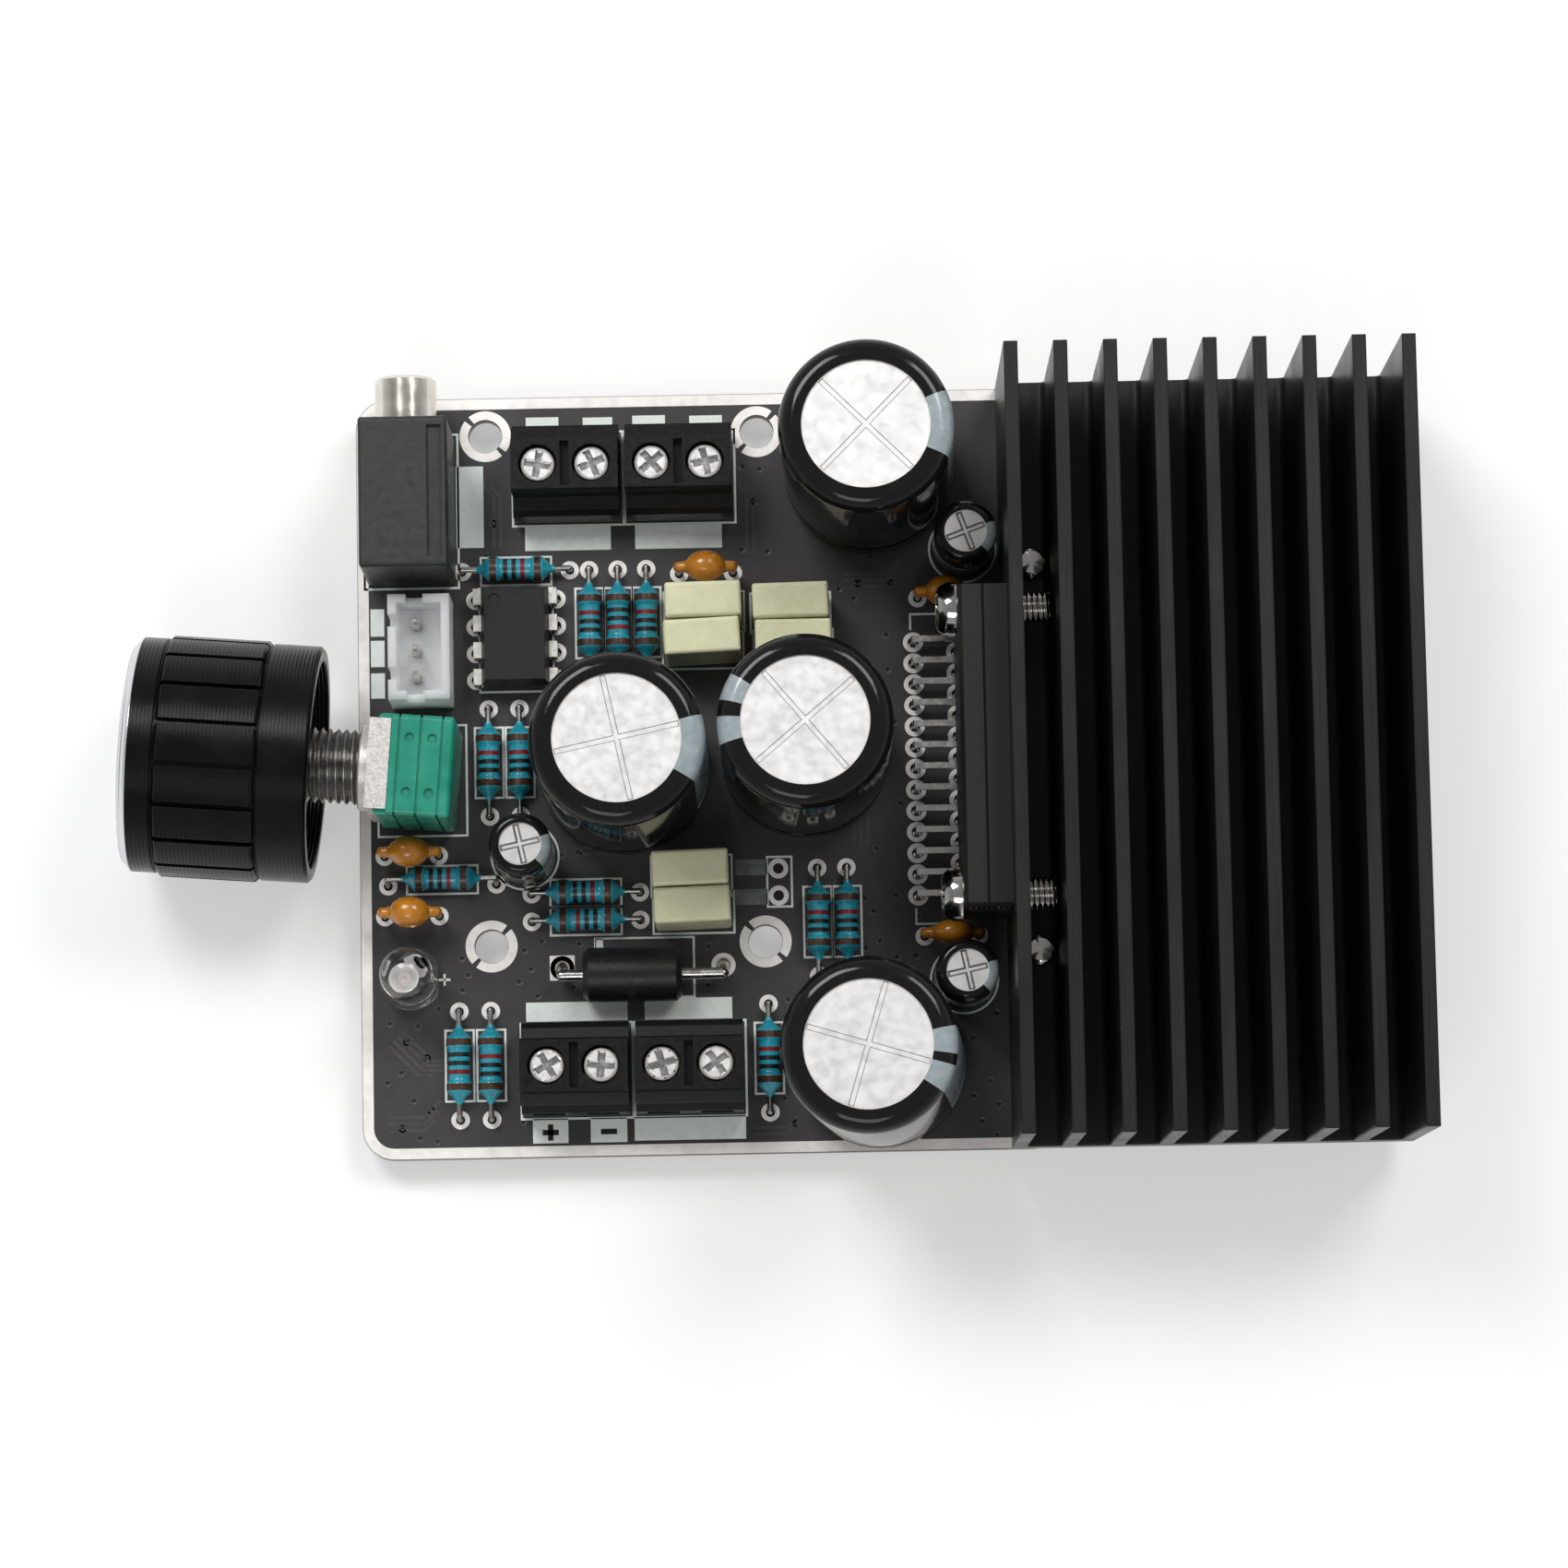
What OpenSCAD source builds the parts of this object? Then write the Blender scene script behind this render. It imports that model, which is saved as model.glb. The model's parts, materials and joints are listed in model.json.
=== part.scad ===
// Stereo power amplifier board: a bridge amplifier chip on a finned heatsink, filter
// capacitors, screw terminals, a headphone-size input jack and a volume knob.
// The origin is the centre of the four mounting holes, on the underside of the board.
// X runs towards the heatsink, Y towards the input jack's mouth and Z up from the board.

/* [Circuit board] */
// Board size along X
board_w = 65.5; // [64:0.1:70]
// Board size along Y
board_l = 72; // [71.5:0.1:78]
// Board thickness
board_t = 1.6; // [1:0.1:2.4]
// Corner radius of the board
board_corner_r = 3; // [1:0.1:4]
// Distance between the mounting holes along X
hole_pitch_x = 25.7; // [25:0.1:26.4]
// Distance between the mounting holes along Y
hole_pitch_y = 48.5; // [47.8:0.1:49.2]
// Diameter of the mounting holes
mount_hole_d = 3.2; // [2.4:0.1:3.4]
// Left board edge to the middle of the hole pattern
board_margin_left = 25.1; // [25:0.1:27]
// Rear board edge to the middle of the hole pattern
board_margin_back = 27.9; // [27.8:0.1:29]

/* [Leads and solder] */
// Length of the trimmed leads below the board
lead_stub = 2.1; // [1.6:0.1:2.6]
// Height of a solder cone under the board
solder_h = 1.2; // [0.8:0.1:1.4]
// Radial room around a lead in its drilled hole
drill_clear = 0.15; // [0.1:0.01:0.2]
// Radial room between solder and lead, and between pressed pieces
seat_clear = 0.02; // [0.01:0.01:0.05]
// Width of the solder foot outside its hole
solder_ring = 0.3; // [0.2:0.05:0.35]

/* [Heatsink] */
// Height of the whole heatsink
heatsink_h = 23.5; // [22:0.1:30]
// Thickness of the heatsink base
heatsink_base_t = 3; // [2:0.1:4]
// Number of fins
fin_count = 9; // [4:1:10]
// Distance from fin to fin
fin_pitch = 4.52; // [4.2:0.01:5]
// Thickness of a fin
fin_t = 1.27; // [1:0.01:1.6]
// Radius in the corners between fins and base
fin_root_r = 0.6; // [0.2:0.05:0.9]
// How far the heatsink reaches over the board
heatsink_overlap = 4.9; // [4.7:0.1:6]
// Diameter of the two screws that hold the heatsink
heatsink_screw_d = 2.5; // [2:0.1:2.6]
// Height of the heads of those screws
heatsink_screw_head_h = 2.2; // [1.7:0.1:2.6]
// Y of the rear heatsink screw
heatsink_screw_back = 10.5; // [10:0.1:11]
// Y of the front heatsink screw
heatsink_screw_front = -25.9; // [-26.4:0.1:-25.4]

/* [Amplifier chip] */
// End of the chip package to its outermost lead
chip_end = 2.6; // [2.4:0.05:2.6]
// Height of the chip package
chip_h = 15.7; // [14:0.1:17]
// Thickness of the chip package
chip_t = 4.5; // [4:0.1:4.8]
// Board to the underside of the package
chip_lift = 3.1; // [2.8:0.1:4]
// Middle of the package along Y
chip_y = -8.2; // [-8.2:0.1:-8]
// Pitch of the leads in one row
chip_lead_pitch = 2; // [1.9:0.01:2]
// Heatsink face to the front row of leads
chip_row_front = 8.25; // [8:0.05:8.5]
// Heatsink face to the rear row of leads
chip_row_rear = 4.2; // [4:0.05:4.4]
// Width of a chip lead
chip_lead_w = 0.56; // [0.4:0.02:0.7]
// Thickness of a chip lead
chip_lead_t = 0.46; // [0.36:0.02:0.5]
// Diameter of the two chip screws
chip_screw_d = 3; // [2.5:0.1:3]
// Distance between the chip screws
chip_screw_pitch = 26.4; // [26:0.1:26.6]
// Chip underside to the screws
chip_screw_up = 9.4; // [8:0.1:11]
// Length of the chip screws under the head
chip_screw_l = 8.6; // [7:0.1:9]

/* [Input jack] */
// Width of the jack body
jack_w = 8.3; // [7.8:0.1:8.4]
// Length of the jack body
jack_l = 14.1; // [13.6:0.1:14.3]
// Height of the jack body
jack_h = 12; // [11:0.1:14]
// Height of the plug axis above the board
jack_axis_h = 6; // [5.4:0.1:6.4]
// Diameter of the plug bore
jack_bore_d = 3.6; // [3.5:0.05:3.8]
// Outside diameter of the metal barrel
jack_barrel_d = 5.8; // [5.4:0.1:6.4]
// How far the barrel stands out of the body
jack_barrel_out = 4.5; // [3:0.1:6]

/* [Input header] */
// Pitch of the three header pins
header_pitch = 2.5; // [2.4:0.05:2.6]
// Width of the header shroud
header_w = 5.75; // [5.5:0.05:6]
// Height of the header shroud
header_h = 7; // [6:0.1:9]
// Wall of the header shroud
header_wall = 0.8; // [0.6:0.05:0.9]
// Side of a square header pin
header_pin = 0.64; // [0.5:0.02:0.7]

/* [Volume control] */
// Height of the shaft axis above the board
pot_axis_h = 7.6; // [7.6:0.1:8.6]
// Turn of the volume control against the board edge, in degrees
pot_yaw = -4.6; // [-5:0.1:-3]
// Width of the volume control body
pot_w = 9.4; // [9:0.1:9.5]
// Height of the volume control body
pot_h = 12.4; // [12:0.1:14]
// Depth of the body behind the front plate
pot_d = 7.1; // [6.6:0.1:7.2]
// Thickness of the front plate
pot_plate_t = 0.8; // [0.5:0.05:0.8]
// Depth of the plate's folded top
pot_plate_fold = 2; // [1.4:0.1:2.4]
// Diameter of the threaded bushing
bushing_d = 7; // [6.8:0.1:8]
// Length of the threaded bushing
bushing_l = 6.2; // [5.6:0.1:7]
// Diameter of the control shaft
shaft_d = 6; // [5:0.1:6]
// Radial running clearance of the shaft in its bushing
shaft_clear = 0.05; // [0.02:0.01:0.08]

/* [Knob] */
// Largest diameter of the knob, over its grip pads
knob_d = 22.4; // [20:0.1:22.4]
// Diameter of the plain front collar
knob_front_d = 21.8; // [19:0.1:21.8]
// Diameter of the plain rear collar
knob_rear_d = 22; // [19:0.1:22]
// Length of the knob
knob_l = 17.4; // [16:0.1:19]
// Front plate of the volume control to the rear rim of the knob
knob_gap = 4.9; // [4:0.1:5.4]
// Length of the rear collar
knob_rear_l = 4.8; // [4:0.1:5.5]
// Length of the gripped middle
knob_grip_l = 9.3; // [8:0.1:9.5]
// Length of the bright bevel at the front
knob_bevel = 0.8; // [0.4:0.1:1]
// Number of grip pads round the knob
knob_pads = 18; // [12:1:24]
// Width of the groove between grip pads
knob_groove_w = 0.55; // [0.3:0.05:0.9]
// Wall of the hollow rear of the knob
knob_wall = 1.3; // [1:0.1:2]
// Outside diameter of the insert that grips the shaft
insert_d = 10; // [8.4:0.1:12]

/* [Screw terminals] */
// Pitch of the wire entries
terminal_pitch = 5; // [4.9:0.01:5.04]
// Height of a terminal block
terminal_h = 8.5; // [8.4:0.1:10]
// Wire-side reach of a block in front of its screws
terminal_front = 4.2; // [4:0.1:4.6]
// Reach of a block behind its screws
terminal_rear = 4.3; // [4:0.1:4.4]
// Half depth of the raised middle with the screws
terminal_ridge = 2.55; // [2.4:0.05:2.6]
// Height of the low step behind the raised middle
terminal_step_h = 4.6; // [4.4:0.1:5]
// Width of a wire chamber
chamber_w = 3.5; // [3.4:0.05:3.8]
// Thickness of a block's floor
terminal_floor = 1.2; // [1:0.1:1.4]
// Sheet thickness of cages and clamp plates
cage_t = 0.5; // [0.4:0.05:0.5]
// Diameter of a terminal screw's thread
terminal_screw_d = 2.4; // [2:0.1:2.4]
// Diameter of a terminal screw's head
terminal_head_d = 3.2; // [2.8:0.1:3.2]
// Height of a terminal screw's head
terminal_head_h = 1.5; // [1.2:0.1:1.6]
// Depth of the screw head below the top of its block
terminal_head_sink = 0.4; // [0.2:0.1:0.4]
// Travel of a clamp plate from open to shut
clamp_travel = 1.575; // [1:0.005:1.7]
// Clearance round the moving clamp plate and screw head
clamp_clear = 0.2; // [0.1:0.01:0.25]

/* [Filter capacitors] */
// Diameter of a filter capacitor
filter_d = 16; // [12.5:0.1:16.2]
// Height of a filter capacitor
filter_h = 25; // [20:0.5:35]
// Radius of the bare vented top
filter_vent_r = 6; // [4:0.1:6.5]
// Distance between the leads of a filter capacitor
filter_pitch = 7.5; // [5:0.1:7.6]

/* [Small capacitors] */
// Diameter of a small electrolytic capacitor
small_d = 5.8; // [5:0.1:5.8]
// Height of a small electrolytic capacitor
small_h = 11; // [9:0.1:13]
// Distance between the leads of a small electrolytic capacitor
small_pitch = 2.5; // [2:0.1:2.6]
// Length of a film capacitor
film_l = 7.1; // [6.4:0.1:7.2]
// Thickness of a film capacitor
film_t = 3.3; // [2.8:0.05:3.3]
// Height of a film capacitor
film_h = 8.5; // [7:0.1:10]
// Distance between the leads of a film capacitor
film_pitch = 5; // [4.6:0.1:5.2]
// Width of a ceramic capacitor
ceramic_w = 3.9; // [3.3:0.1:4.2]
// Thickness of a ceramic capacitor
ceramic_t = 3; // [2.4:0.1:3]
// Thickness of the slim ceramic capacitor at the front of the chip
slim_ceramic_t = 2.3; // [1.9:0.1:2.3]
// Distance between the leads of a ceramic capacitor
ceramic_pitch = 5.08; // [4.8:0.01:5.2]

/* [Resistors and diode] */
// Distance between the leads of a resistor
resistor_pitch = 10.16; // [9.8:0.01:10.2]
// Length of a resistor body
resistor_l = 6.3; // [5.8:0.1:6.6]
// Diameter of a resistor's end caps
resistor_d = 2.4; // [2:0.05:2.4]
// Diameter of thin component leads
lead_d = 0.55; // [0.45:0.01:0.6]
// Distance between the leads of the diode
diode_pitch = 15.1; // [14.6:0.1:15.4]
// Length of the diode body
diode_l = 9.2; // [8.6:0.1:9.5]
// Diameter of the diode body
diode_d = 5.1; // [4.6:0.1:5.2]
// Diameter of the diode's leads
diode_lead_d = 1.1; // [0.8:0.05:1.2]

/* [Op amp and lamp] */
// Length of the eight-pin op amp
dip_l = 9.3; // [9:0.1:9.6]
// Width of the op amp's body
dip_w = 6.35; // [6:0.05:6.4]
// Pin pitch of the op amp
dip_pitch = 2.54; // [2.5:0.01:2.6]
// Distance between the op amp's two rows of pins
dip_rows = 7.62; // [7.4:0.01:7.8]
// Diameter of the lamp's lens
led_d = 5; // [4:0.1:5]
// Height of the lamp's lens above its flange's underside
led_h = 8.6; // [7:0.1:9]
// Distance between the lamp's leads
led_pitch = 2.54; // [2.2:0.01:2.6]

/* [Hidden] */
$fn = 48;
facet_fn = 20;
eps = 0.01;
// How far a cut runs past the face that it opens
over = 1;

// Board edges in the frame of the mounting holes
board_left = -board_margin_left;
board_back = board_margin_back;
board_right = board_left + board_w;
board_front = board_back - board_l;

// The heatsink is as long as the board, and the chip as wide as its front row of leads asks
heatsink_l = board_l;
chip_row_last = 6;
chip_w = 2 * (chip_row_last * chip_lead_pitch + chip_end);

// Heatsink face that the chip is screwed to, and the middle of the first gap between fins
heatsink_x = board_right - heatsink_overlap;
heatsink_w = (fin_count - 1) * fin_pitch + fin_t;
first_gap_x = heatsink_x + (fin_pitch + fin_t) / 2;
heatsink_screw_y = [heatsink_screw_back, heatsink_screw_front];

// Places of the small parts on the board: x, y and turn in degrees
dip_place = [-10.15, 4.75, 0];
led_place = [-20.4, -27.3, 0];
film_gap = 0.15;
film_row = film_t + film_gap;
film_places = [[7.6, 3.65 + film_row, 1], [7.45, 3.65, 2.5], [15.75, 3.4 + film_row, 1],
               [15.95, 3.4, 0], [6, -21.4 + film_row, 1.5], [6.15, -21.4, 2]];
// Ceramic capacitors also have a thickness
ceramic_places = [[-20.25, -15.6, 0, ceramic_t], [-20.25, -21.3, 0, ceramic_t],
                  [7.85, 10.75, 0, ceramic_t], [heatsink_x - 5.2, 8, 0, ceramic_t],
                  [heatsink_x - 5.2, -24.05, 0, slim_ceramic_t]];
// Resistors also have a lift above the board and a lean to one side, in degrees
resistor_places = [[-10.1, 11.3, 0, 0, 0], [-3.2, 6.2, 90, 0, 0], [-0.5, 6.2, 90, 0, 0],
                   [2.2, 6.2, 90, 0, 0], [-12.85, -6.9, 90, 0, 0], [-9.95, -6.9, 90, 0, 0],
                   [-17.4, -18.4, 0, 0.2, -20], [-3.95, -19.4, 0, 0, 0], [-3.95, -22, 0, 0, 0],
                   [-15.95, -35.4, 90, 0, 0], [-13, -35.4, 90, 0, 0], [17.8, -22.5, 90, 0, 0],
                   [20.55, -22.5, 90, 0, 0], [13, -35.2, 90, 0, 0]];
diode_place = [1.3, -26.4, 0, 0.1, 20];
diode_shift = -0.9;
// Filter capacitors: x, y, turn of the vent cross, lean towards -X in degrees
filter_gap = 1;
filter_pair_x = -0.15;
filter_places = [[23.4, 20.25, 45, 1.3], [filter_pair_x, -7.9, 12, 0],
                 [filter_pair_x + filter_d + filter_gap, -6.6, 40, 0], [23.4, -35.9, -17, 3.4]];
small_places = [[heatsink_x - 3.4, 12.6, 0], [-9.6, -15.8, 0], [heatsink_x - 4.1, -28.2, 0]];
// An open place for a two-pin plug
spare_pads = [[14.15, -17.4], [14.15, -19.95]];
spare_hole_d = 0.9;

// Input jack and header places, measured from the board's edges
jack_inset = 1;
jack_setback = 3.7;
jack_x = board_left + jack_inset + jack_w / 2;
jack_front_y = board_back - jack_setback;
jack_y = jack_front_y - jack_l / 2;
header_inset = 6.15;
header_x = board_left + header_inset;
header_gap = 1.85;
header_pin_shift = -0.4;
header_end = 2.45;
header_l = 2 * (header_pitch + header_end);
header_y = jack_front_y - jack_l - header_gap - header_l / 2;

// Volume control datum: front of its plate, on the shaft's axis
pot_inset = 1.6;
pot_x = board_left + pot_inset;
pot_y = -8.15;

// Terminal blocks: x, y and turn; the second pair faces the front edge
terminal_w = 2 * terminal_pitch;
terminal_gap = 0.6;
terminal_step_x = (terminal_w + terminal_gap) / 2;
back_pair = [0.2, 20.1];
front_pair = [0.3, -36.1];
terminal_places = [[back_pair[0] - terminal_step_x, back_pair[1], 0],
                   [back_pair[0] + terminal_step_x, back_pair[1], 0],
                   [front_pair[0] - terminal_step_x, front_pair[1], 180],
                   [front_pair[0] + terminal_step_x, front_pair[1], 180]];
// Each way of each block, in the order of the screws' numbers
terminal_ways = [for (p = terminal_places) for (way = [-1, 1])
                 [p[0] + way * terminal_pitch / 2, p[1], p[2]]];
// A contact cage takes the clamp plate and its travel, with a gap at each end of it
cage_room = 0.1;
clamp_rest_gap = 0.1;
clamp_stop_gap = 0.225;
cage_w = chamber_w - 2 * cage_room;
cage_l = 4.2;
cage_h = clamp_travel + 3 * cage_t + clamp_rest_gap + clamp_stop_gap;
cage_top = terminal_floor + cage_h;
clamp_top = cage_top - cage_t - clamp_rest_gap;
screw_tip_gap = 0.05;
screw_tip = clamp_top + screw_tip_gap;
screw_head_top = terminal_h - terminal_head_sink;
thread_clear = 0.05;
screw_low = screw_tip - clamp_travel - thread_clear;
terminal_pin_d = 1;

// Jack contacts: side of the plug bore and distance behind the jack's front face
jack_contacts = [[-1, 5.5], [1, 8], [-1, 11.5]];
jack_contact_out = 0.55;
jack_contact_x = jack_bore_d / 2 + jack_contact_out;
jack_pin_d = 0.9;

// Volume control terminals: place across the body, behind the plate's front
pot_pin_d = 0.8;
pot_pin_back = 5;
pot_pin_pitch = 2.5;
pot_pins = [for (s = [-1, 0, 1]) [-pot_pin_back, s * pot_pin_pitch]];

function turned(p, v) = [p[0] + v[0] * cos(p[2]) - v[1] * sin(p[2]),
                         p[1] + v[0] * sin(p[2]) + v[1] * cos(p[2])];
function lead_pair(p, pitch) = [turned(p, [-pitch / 2, 0]), turned(p, [pitch / 2, 0])];
function sized(points, d) = [for (q = points) [q[0], q[1], d]];
function pairs_of(places, pitch) = [for (p = places) each lead_pair(p, pitch)];
function pot_point(v) = turned([pot_x, pot_y, 180 + pot_yaw], v);

resistor_leads_at = pairs_of(resistor_places, resistor_pitch);
diode_leads_at = lead_pair(diode_place, diode_pitch);
ceramic_leads_at = pairs_of(ceramic_places, ceramic_pitch);
film_leads_at = pairs_of(film_places, film_pitch);
filter_lead_d = 0.9;
filter_leads_at = [for (p = filter_places) each lead_pair([p[0], p[1], 90], filter_pitch)];
small_leads_at = pairs_of(small_places, small_pitch);
led_leads_at = lead_pair(led_place, led_pitch);
dip_pin_d = 0.6;
dip_leads_at = [for (side = [-1, 1]) for (i = [-1.5:1:1.5])
                turned(dip_place, [side * dip_rows / 2, i * dip_pitch])];
header_pin_d = header_pin * sqrt(2);
header_pins_at = [for (i = [-1, 0, 1]) [header_x + header_pin_shift, header_y + i * header_pitch]];
chip_pin_d = norm([chip_lead_w, chip_lead_t]);
chip_front_at = [for (i = [-chip_row_last:chip_row_last])
                 [heatsink_x - chip_row_front, chip_y + i * chip_lead_pitch]];
chip_rear_at = [for (i = [0.5 - chip_row_last:chip_row_last - 0.5])
                [heatsink_x - chip_row_rear, chip_y + i * chip_lead_pitch]];
jack_pins_at = [for (c = jack_contacts) [jack_x + c[0] * jack_contact_x, jack_front_y - c[1]]];
pot_pins_at = [for (v = pot_pins) pot_point(v)];

// Every soldered lead: x, y and its diameter
soldered = concat(sized(resistor_leads_at, lead_d), sized(diode_leads_at, diode_lead_d),
                  sized(ceramic_leads_at, lead_d), sized(film_leads_at, lead_d),
                  sized(filter_leads_at, filter_lead_d), sized(small_leads_at, lead_d),
                  sized(led_leads_at, lead_d), sized(dip_leads_at, dip_pin_d),
                  sized(header_pins_at, header_pin_d), sized(chip_front_at, chip_pin_d),
                  sized(chip_rear_at, chip_pin_d), sized(jack_pins_at, jack_pin_d),
                  sized(pot_pins_at, pot_pin_d), sized(terminal_ways, terminal_pin_d));

// Shared shapes

module rounded_rect(w, l, r) {
    square([w - 2 * r, l], center = true);
    square([w, l - 2 * r], center = true);
    for (x = [-1, 1], y = [-1, 1])
        translate([x * (w / 2 - r), y * (l / 2 - r)]) circle(r);
}

// A box on the XY plane, with every edge rounded
module rounded_box(w, l, h, r) {
    intersection() {
        linear_extrude(h) rounded_rect(w, l, r);
        translate([0, l / 2, h / 2]) rotate([90, 0, 0]) linear_extrude(l) rounded_rect(w, h, r);
        translate([-w / 2, 0, h / 2]) rotate([90, 0, 90]) linear_extrude(w) rounded_rect(l, h, r);
    }
}

// Puts a part on the board's top at a place
module on_board(p) {
    translate([p[0], p[1], board_t]) rotate([0, 0, p[2]]) children();
}

// Straight round leads from below the board up to a height above it
module straight_leads(points, d, height) {
    for (q = points)
        translate([q[0], q[1], -lead_stub]) cylinder(d = d, h = lead_stub + board_t + height);
}

// One half of a bent lead: down through the board, up to the body's axis and along it.
// A leaning lead is a little thinner above the board, where it leaves its hole at an angle.
module bent_lead(reach, inner, d, axis_h, lean) {
    lean_thin = 0.96;
    upright = lean == 0;
    upper_d = upright ? d : lean_thin * d;
    foot = lead_stub + board_t;
    translate([0, 0, -foot]) cylinder(d = d, h = foot + (upright ? axis_h : 0));
    rotate([lean, 0, 0]) {
        if (!upright) translate([0, 0, -d / 4]) cylinder(d = upper_d, h = axis_h + d / 4);
        translate([0, 0, axis_h]) sphere(d = upper_d);
        translate([0, 0, axis_h]) rotate([0, 90, 0]) cylinder(d = upper_d, h = reach - inner);
    }
}

// Pan head with its bearing face on the XY plane, standing up, with a cross recess
module cross_head(d, h, recess_w) {
    rim_h = h / 2;
    crown_r = d * 0.36;
    crown_h = h * 0.85;
    recess_l = d * 0.6;
    difference() {
        rotate_extrude() polygon([[0, 0], [d / 2, 0], [d / 2, rim_h], [crown_r, crown_h], [0, h]]);
        for (a = [0, 90])
            rotate([0, 0, a]) translate([0, 0, h]) cube([recess_l, recess_w, h], center = true);
    }
}

module circuit_board() color([0.12, 0.13, 0.14]) {
    linear_extrude(board_t) difference() {
        translate([(board_left + board_right) / 2, (board_front + board_back) / 2])
            rounded_rect(board_w, board_l, board_corner_r);
        for (x = [-1, 1], y = [-1, 1])
            translate([x * hole_pitch_x / 2, y * hole_pitch_y / 2]) circle(d = mount_hole_d);
        for (s = soldered)
            translate([s[0], s[1]]) circle(d = s[2] + 2 * drill_clear);
        for (s = spare_pads)
            translate(s) circle(d = spare_hole_d);
        for (y = heatsink_screw_y)
            translate([first_gap_x, y]) circle(d = heatsink_screw_d + 2 * drill_clear);
    }
}

module solder_joints() color("silver") {
    foot_h = solder_h * 0.35;
    tip_t = 0.1;
    for (s = soldered) {
        inner = s[2] / 2 + seat_clear;
        outer = s[2] / 2 + drill_clear + solder_ring;
        translate([s[0], s[1], 0]) rotate_extrude()
            polygon([[inner, 0], [outer, 0], [outer - solder_ring / 2, -foot_h],
                     [inner + tip_t, -solder_h], [inner, -solder_h]]);
    }
}

// Heatsink

module fin_gap_profile() {
    gap = fin_pitch - fin_t;
    r = min(fin_root_r, gap / 2 - eps);
    translate([0, heatsink_base_t + r]) square([gap, heatsink_h]);
    translate([r, heatsink_base_t]) square([gap - 2 * r, heatsink_h]);
    for (x = [r, gap - r])
        translate([x, heatsink_base_t + r]) circle(r);
}

module heatsink() color([0.13, 0.13, 0.14]) {
    difference() {
        translate([heatsink_x, board_front + heatsink_l, board_t]) rotate([90, 0, 0])
            linear_extrude(heatsink_l) difference() {
                square([heatsink_w, heatsink_h]);
                for (i = [0:fin_count - 2])
                    translate([i * fin_pitch + fin_t, 0]) fin_gap_profile();
            }
        for (y = heatsink_screw_y)
            translate([first_gap_x, y, 0])
                cylinder(d = heatsink_screw_d + 2 * seat_clear, h = board_t + heatsink_base_t + over);
        for (s = [-1, 1])
            translate([heatsink_x - over, chip_y + s * chip_screw_pitch / 2, chip_screw_z])
                rotate([0, 90, 0]) cylinder(d = chip_screw_d + 2 * seat_clear, h = fin_t + 2 * over);
    }
}

module heatsink_screws() color("silver") {
    head_d = heatsink_screw_d * 1.8;
    recess_w = 0.7;
    end_out = 2;
    for (y = heatsink_screw_y)
        translate([first_gap_x, y, 0]) {
            mirror([0, 0, 1]) cross_head(head_d, heatsink_screw_head_h, recess_w);
            cylinder(d = heatsink_screw_d, h = board_t + heatsink_base_t + end_out);
        }
}

// Amplifier chip

chip_screw_z = board_t + chip_lift + chip_screw_up;
// Heights of the two rows of leads over the board
front_run_h = 2.2;
rear_run_h = 1.2;
// Where the leads leave the package, from its back
chip_exit_x = 2.475;

module amplifier_chip() color([0.16, 0.16, 0.17]) {
    notch_room = 0.2;
    notch_d = chip_screw_d + 2 * notch_room;
    bevel = 0.7;
    parting_x = -chip_t / 2;
    parting_w = 0.1;
    parting_deep = 0.25;
    difference() {
        translate([heatsink_x, chip_y + chip_w / 2, board_t + chip_lift]) rotate([90, 0, 0])
            linear_extrude(chip_w)
                polygon([[0, 0], [0, chip_h], [parting_x + parting_w, chip_h],
                         [parting_x, chip_h - parting_deep], [parting_x - parting_w, chip_h],
                         [-chip_t + bevel / 2, chip_h], [-chip_t, chip_h - bevel],
                         [-chip_t, bevel], [-chip_t + bevel / 2, 0]]);
        for (s = [-1, 1])
            translate([heatsink_x - chip_t - over, chip_y + s * chip_screw_pitch / 2, chip_screw_z]) {
                rotate([0, 90, 0]) cylinder(d = notch_d, h = chip_t + 2 * over);
                translate([0, s > 0 ? 0 : -chip_w, -notch_d / 2])
                    cube([chip_t + 2 * over, chip_w, notch_d]);
            }
    }
}

// A chip lead in side view: down from the package, forward, then down through the board
module chip_lead(row, run_h) {
    exit_x = -chip_exit_x;
    t = chip_lead_t;
    translate([0, chip_lead_w / 2, 0]) rotate([90, 0, 0]) linear_extrude(chip_lead_w)
        polygon([[exit_x + t / 2, chip_lift], [exit_x - t / 2, chip_lift],
                 [exit_x - t / 2, run_h + t / 2], [-row - t / 4, run_h + t / 2],
                 [-row - t / 2, run_h + t / 4], [-row - t / 2, -board_t - lead_stub],
                 [-row + t / 2, -board_t - lead_stub], [-row + t / 2, run_h - t / 2],
                 [exit_x + t / 4, run_h - t / 2], [exit_x + t / 2, run_h - t / 4]]);
}

module amplifier_chip_leads() color("silver") {
    for (q = chip_front_at)
        translate([heatsink_x, q[1], board_t]) chip_lead(chip_row_front, front_run_h);
    for (q = chip_rear_at)
        translate([heatsink_x, q[1], board_t]) chip_lead(chip_row_rear, rear_run_h);
}

module chip_screws() color("silver") {
    head_d = 5;
    head_h = 2;
    recess_w = 0.9;
    for (s = [-1, 1])
        translate([heatsink_x - chip_t, chip_y + s * chip_screw_pitch / 2, chip_screw_z])
            rotate([0, -90, 0]) {
                cross_head(head_d, head_h, recess_w);
                translate([0, 0, -chip_screw_l]) cylinder(d = chip_screw_d, h = chip_screw_l);
            }
}

// Input jack

barrel_in = 3;
contact_room = 0.2;
contact_t = 0.4;
contact_h = 2;

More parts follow.
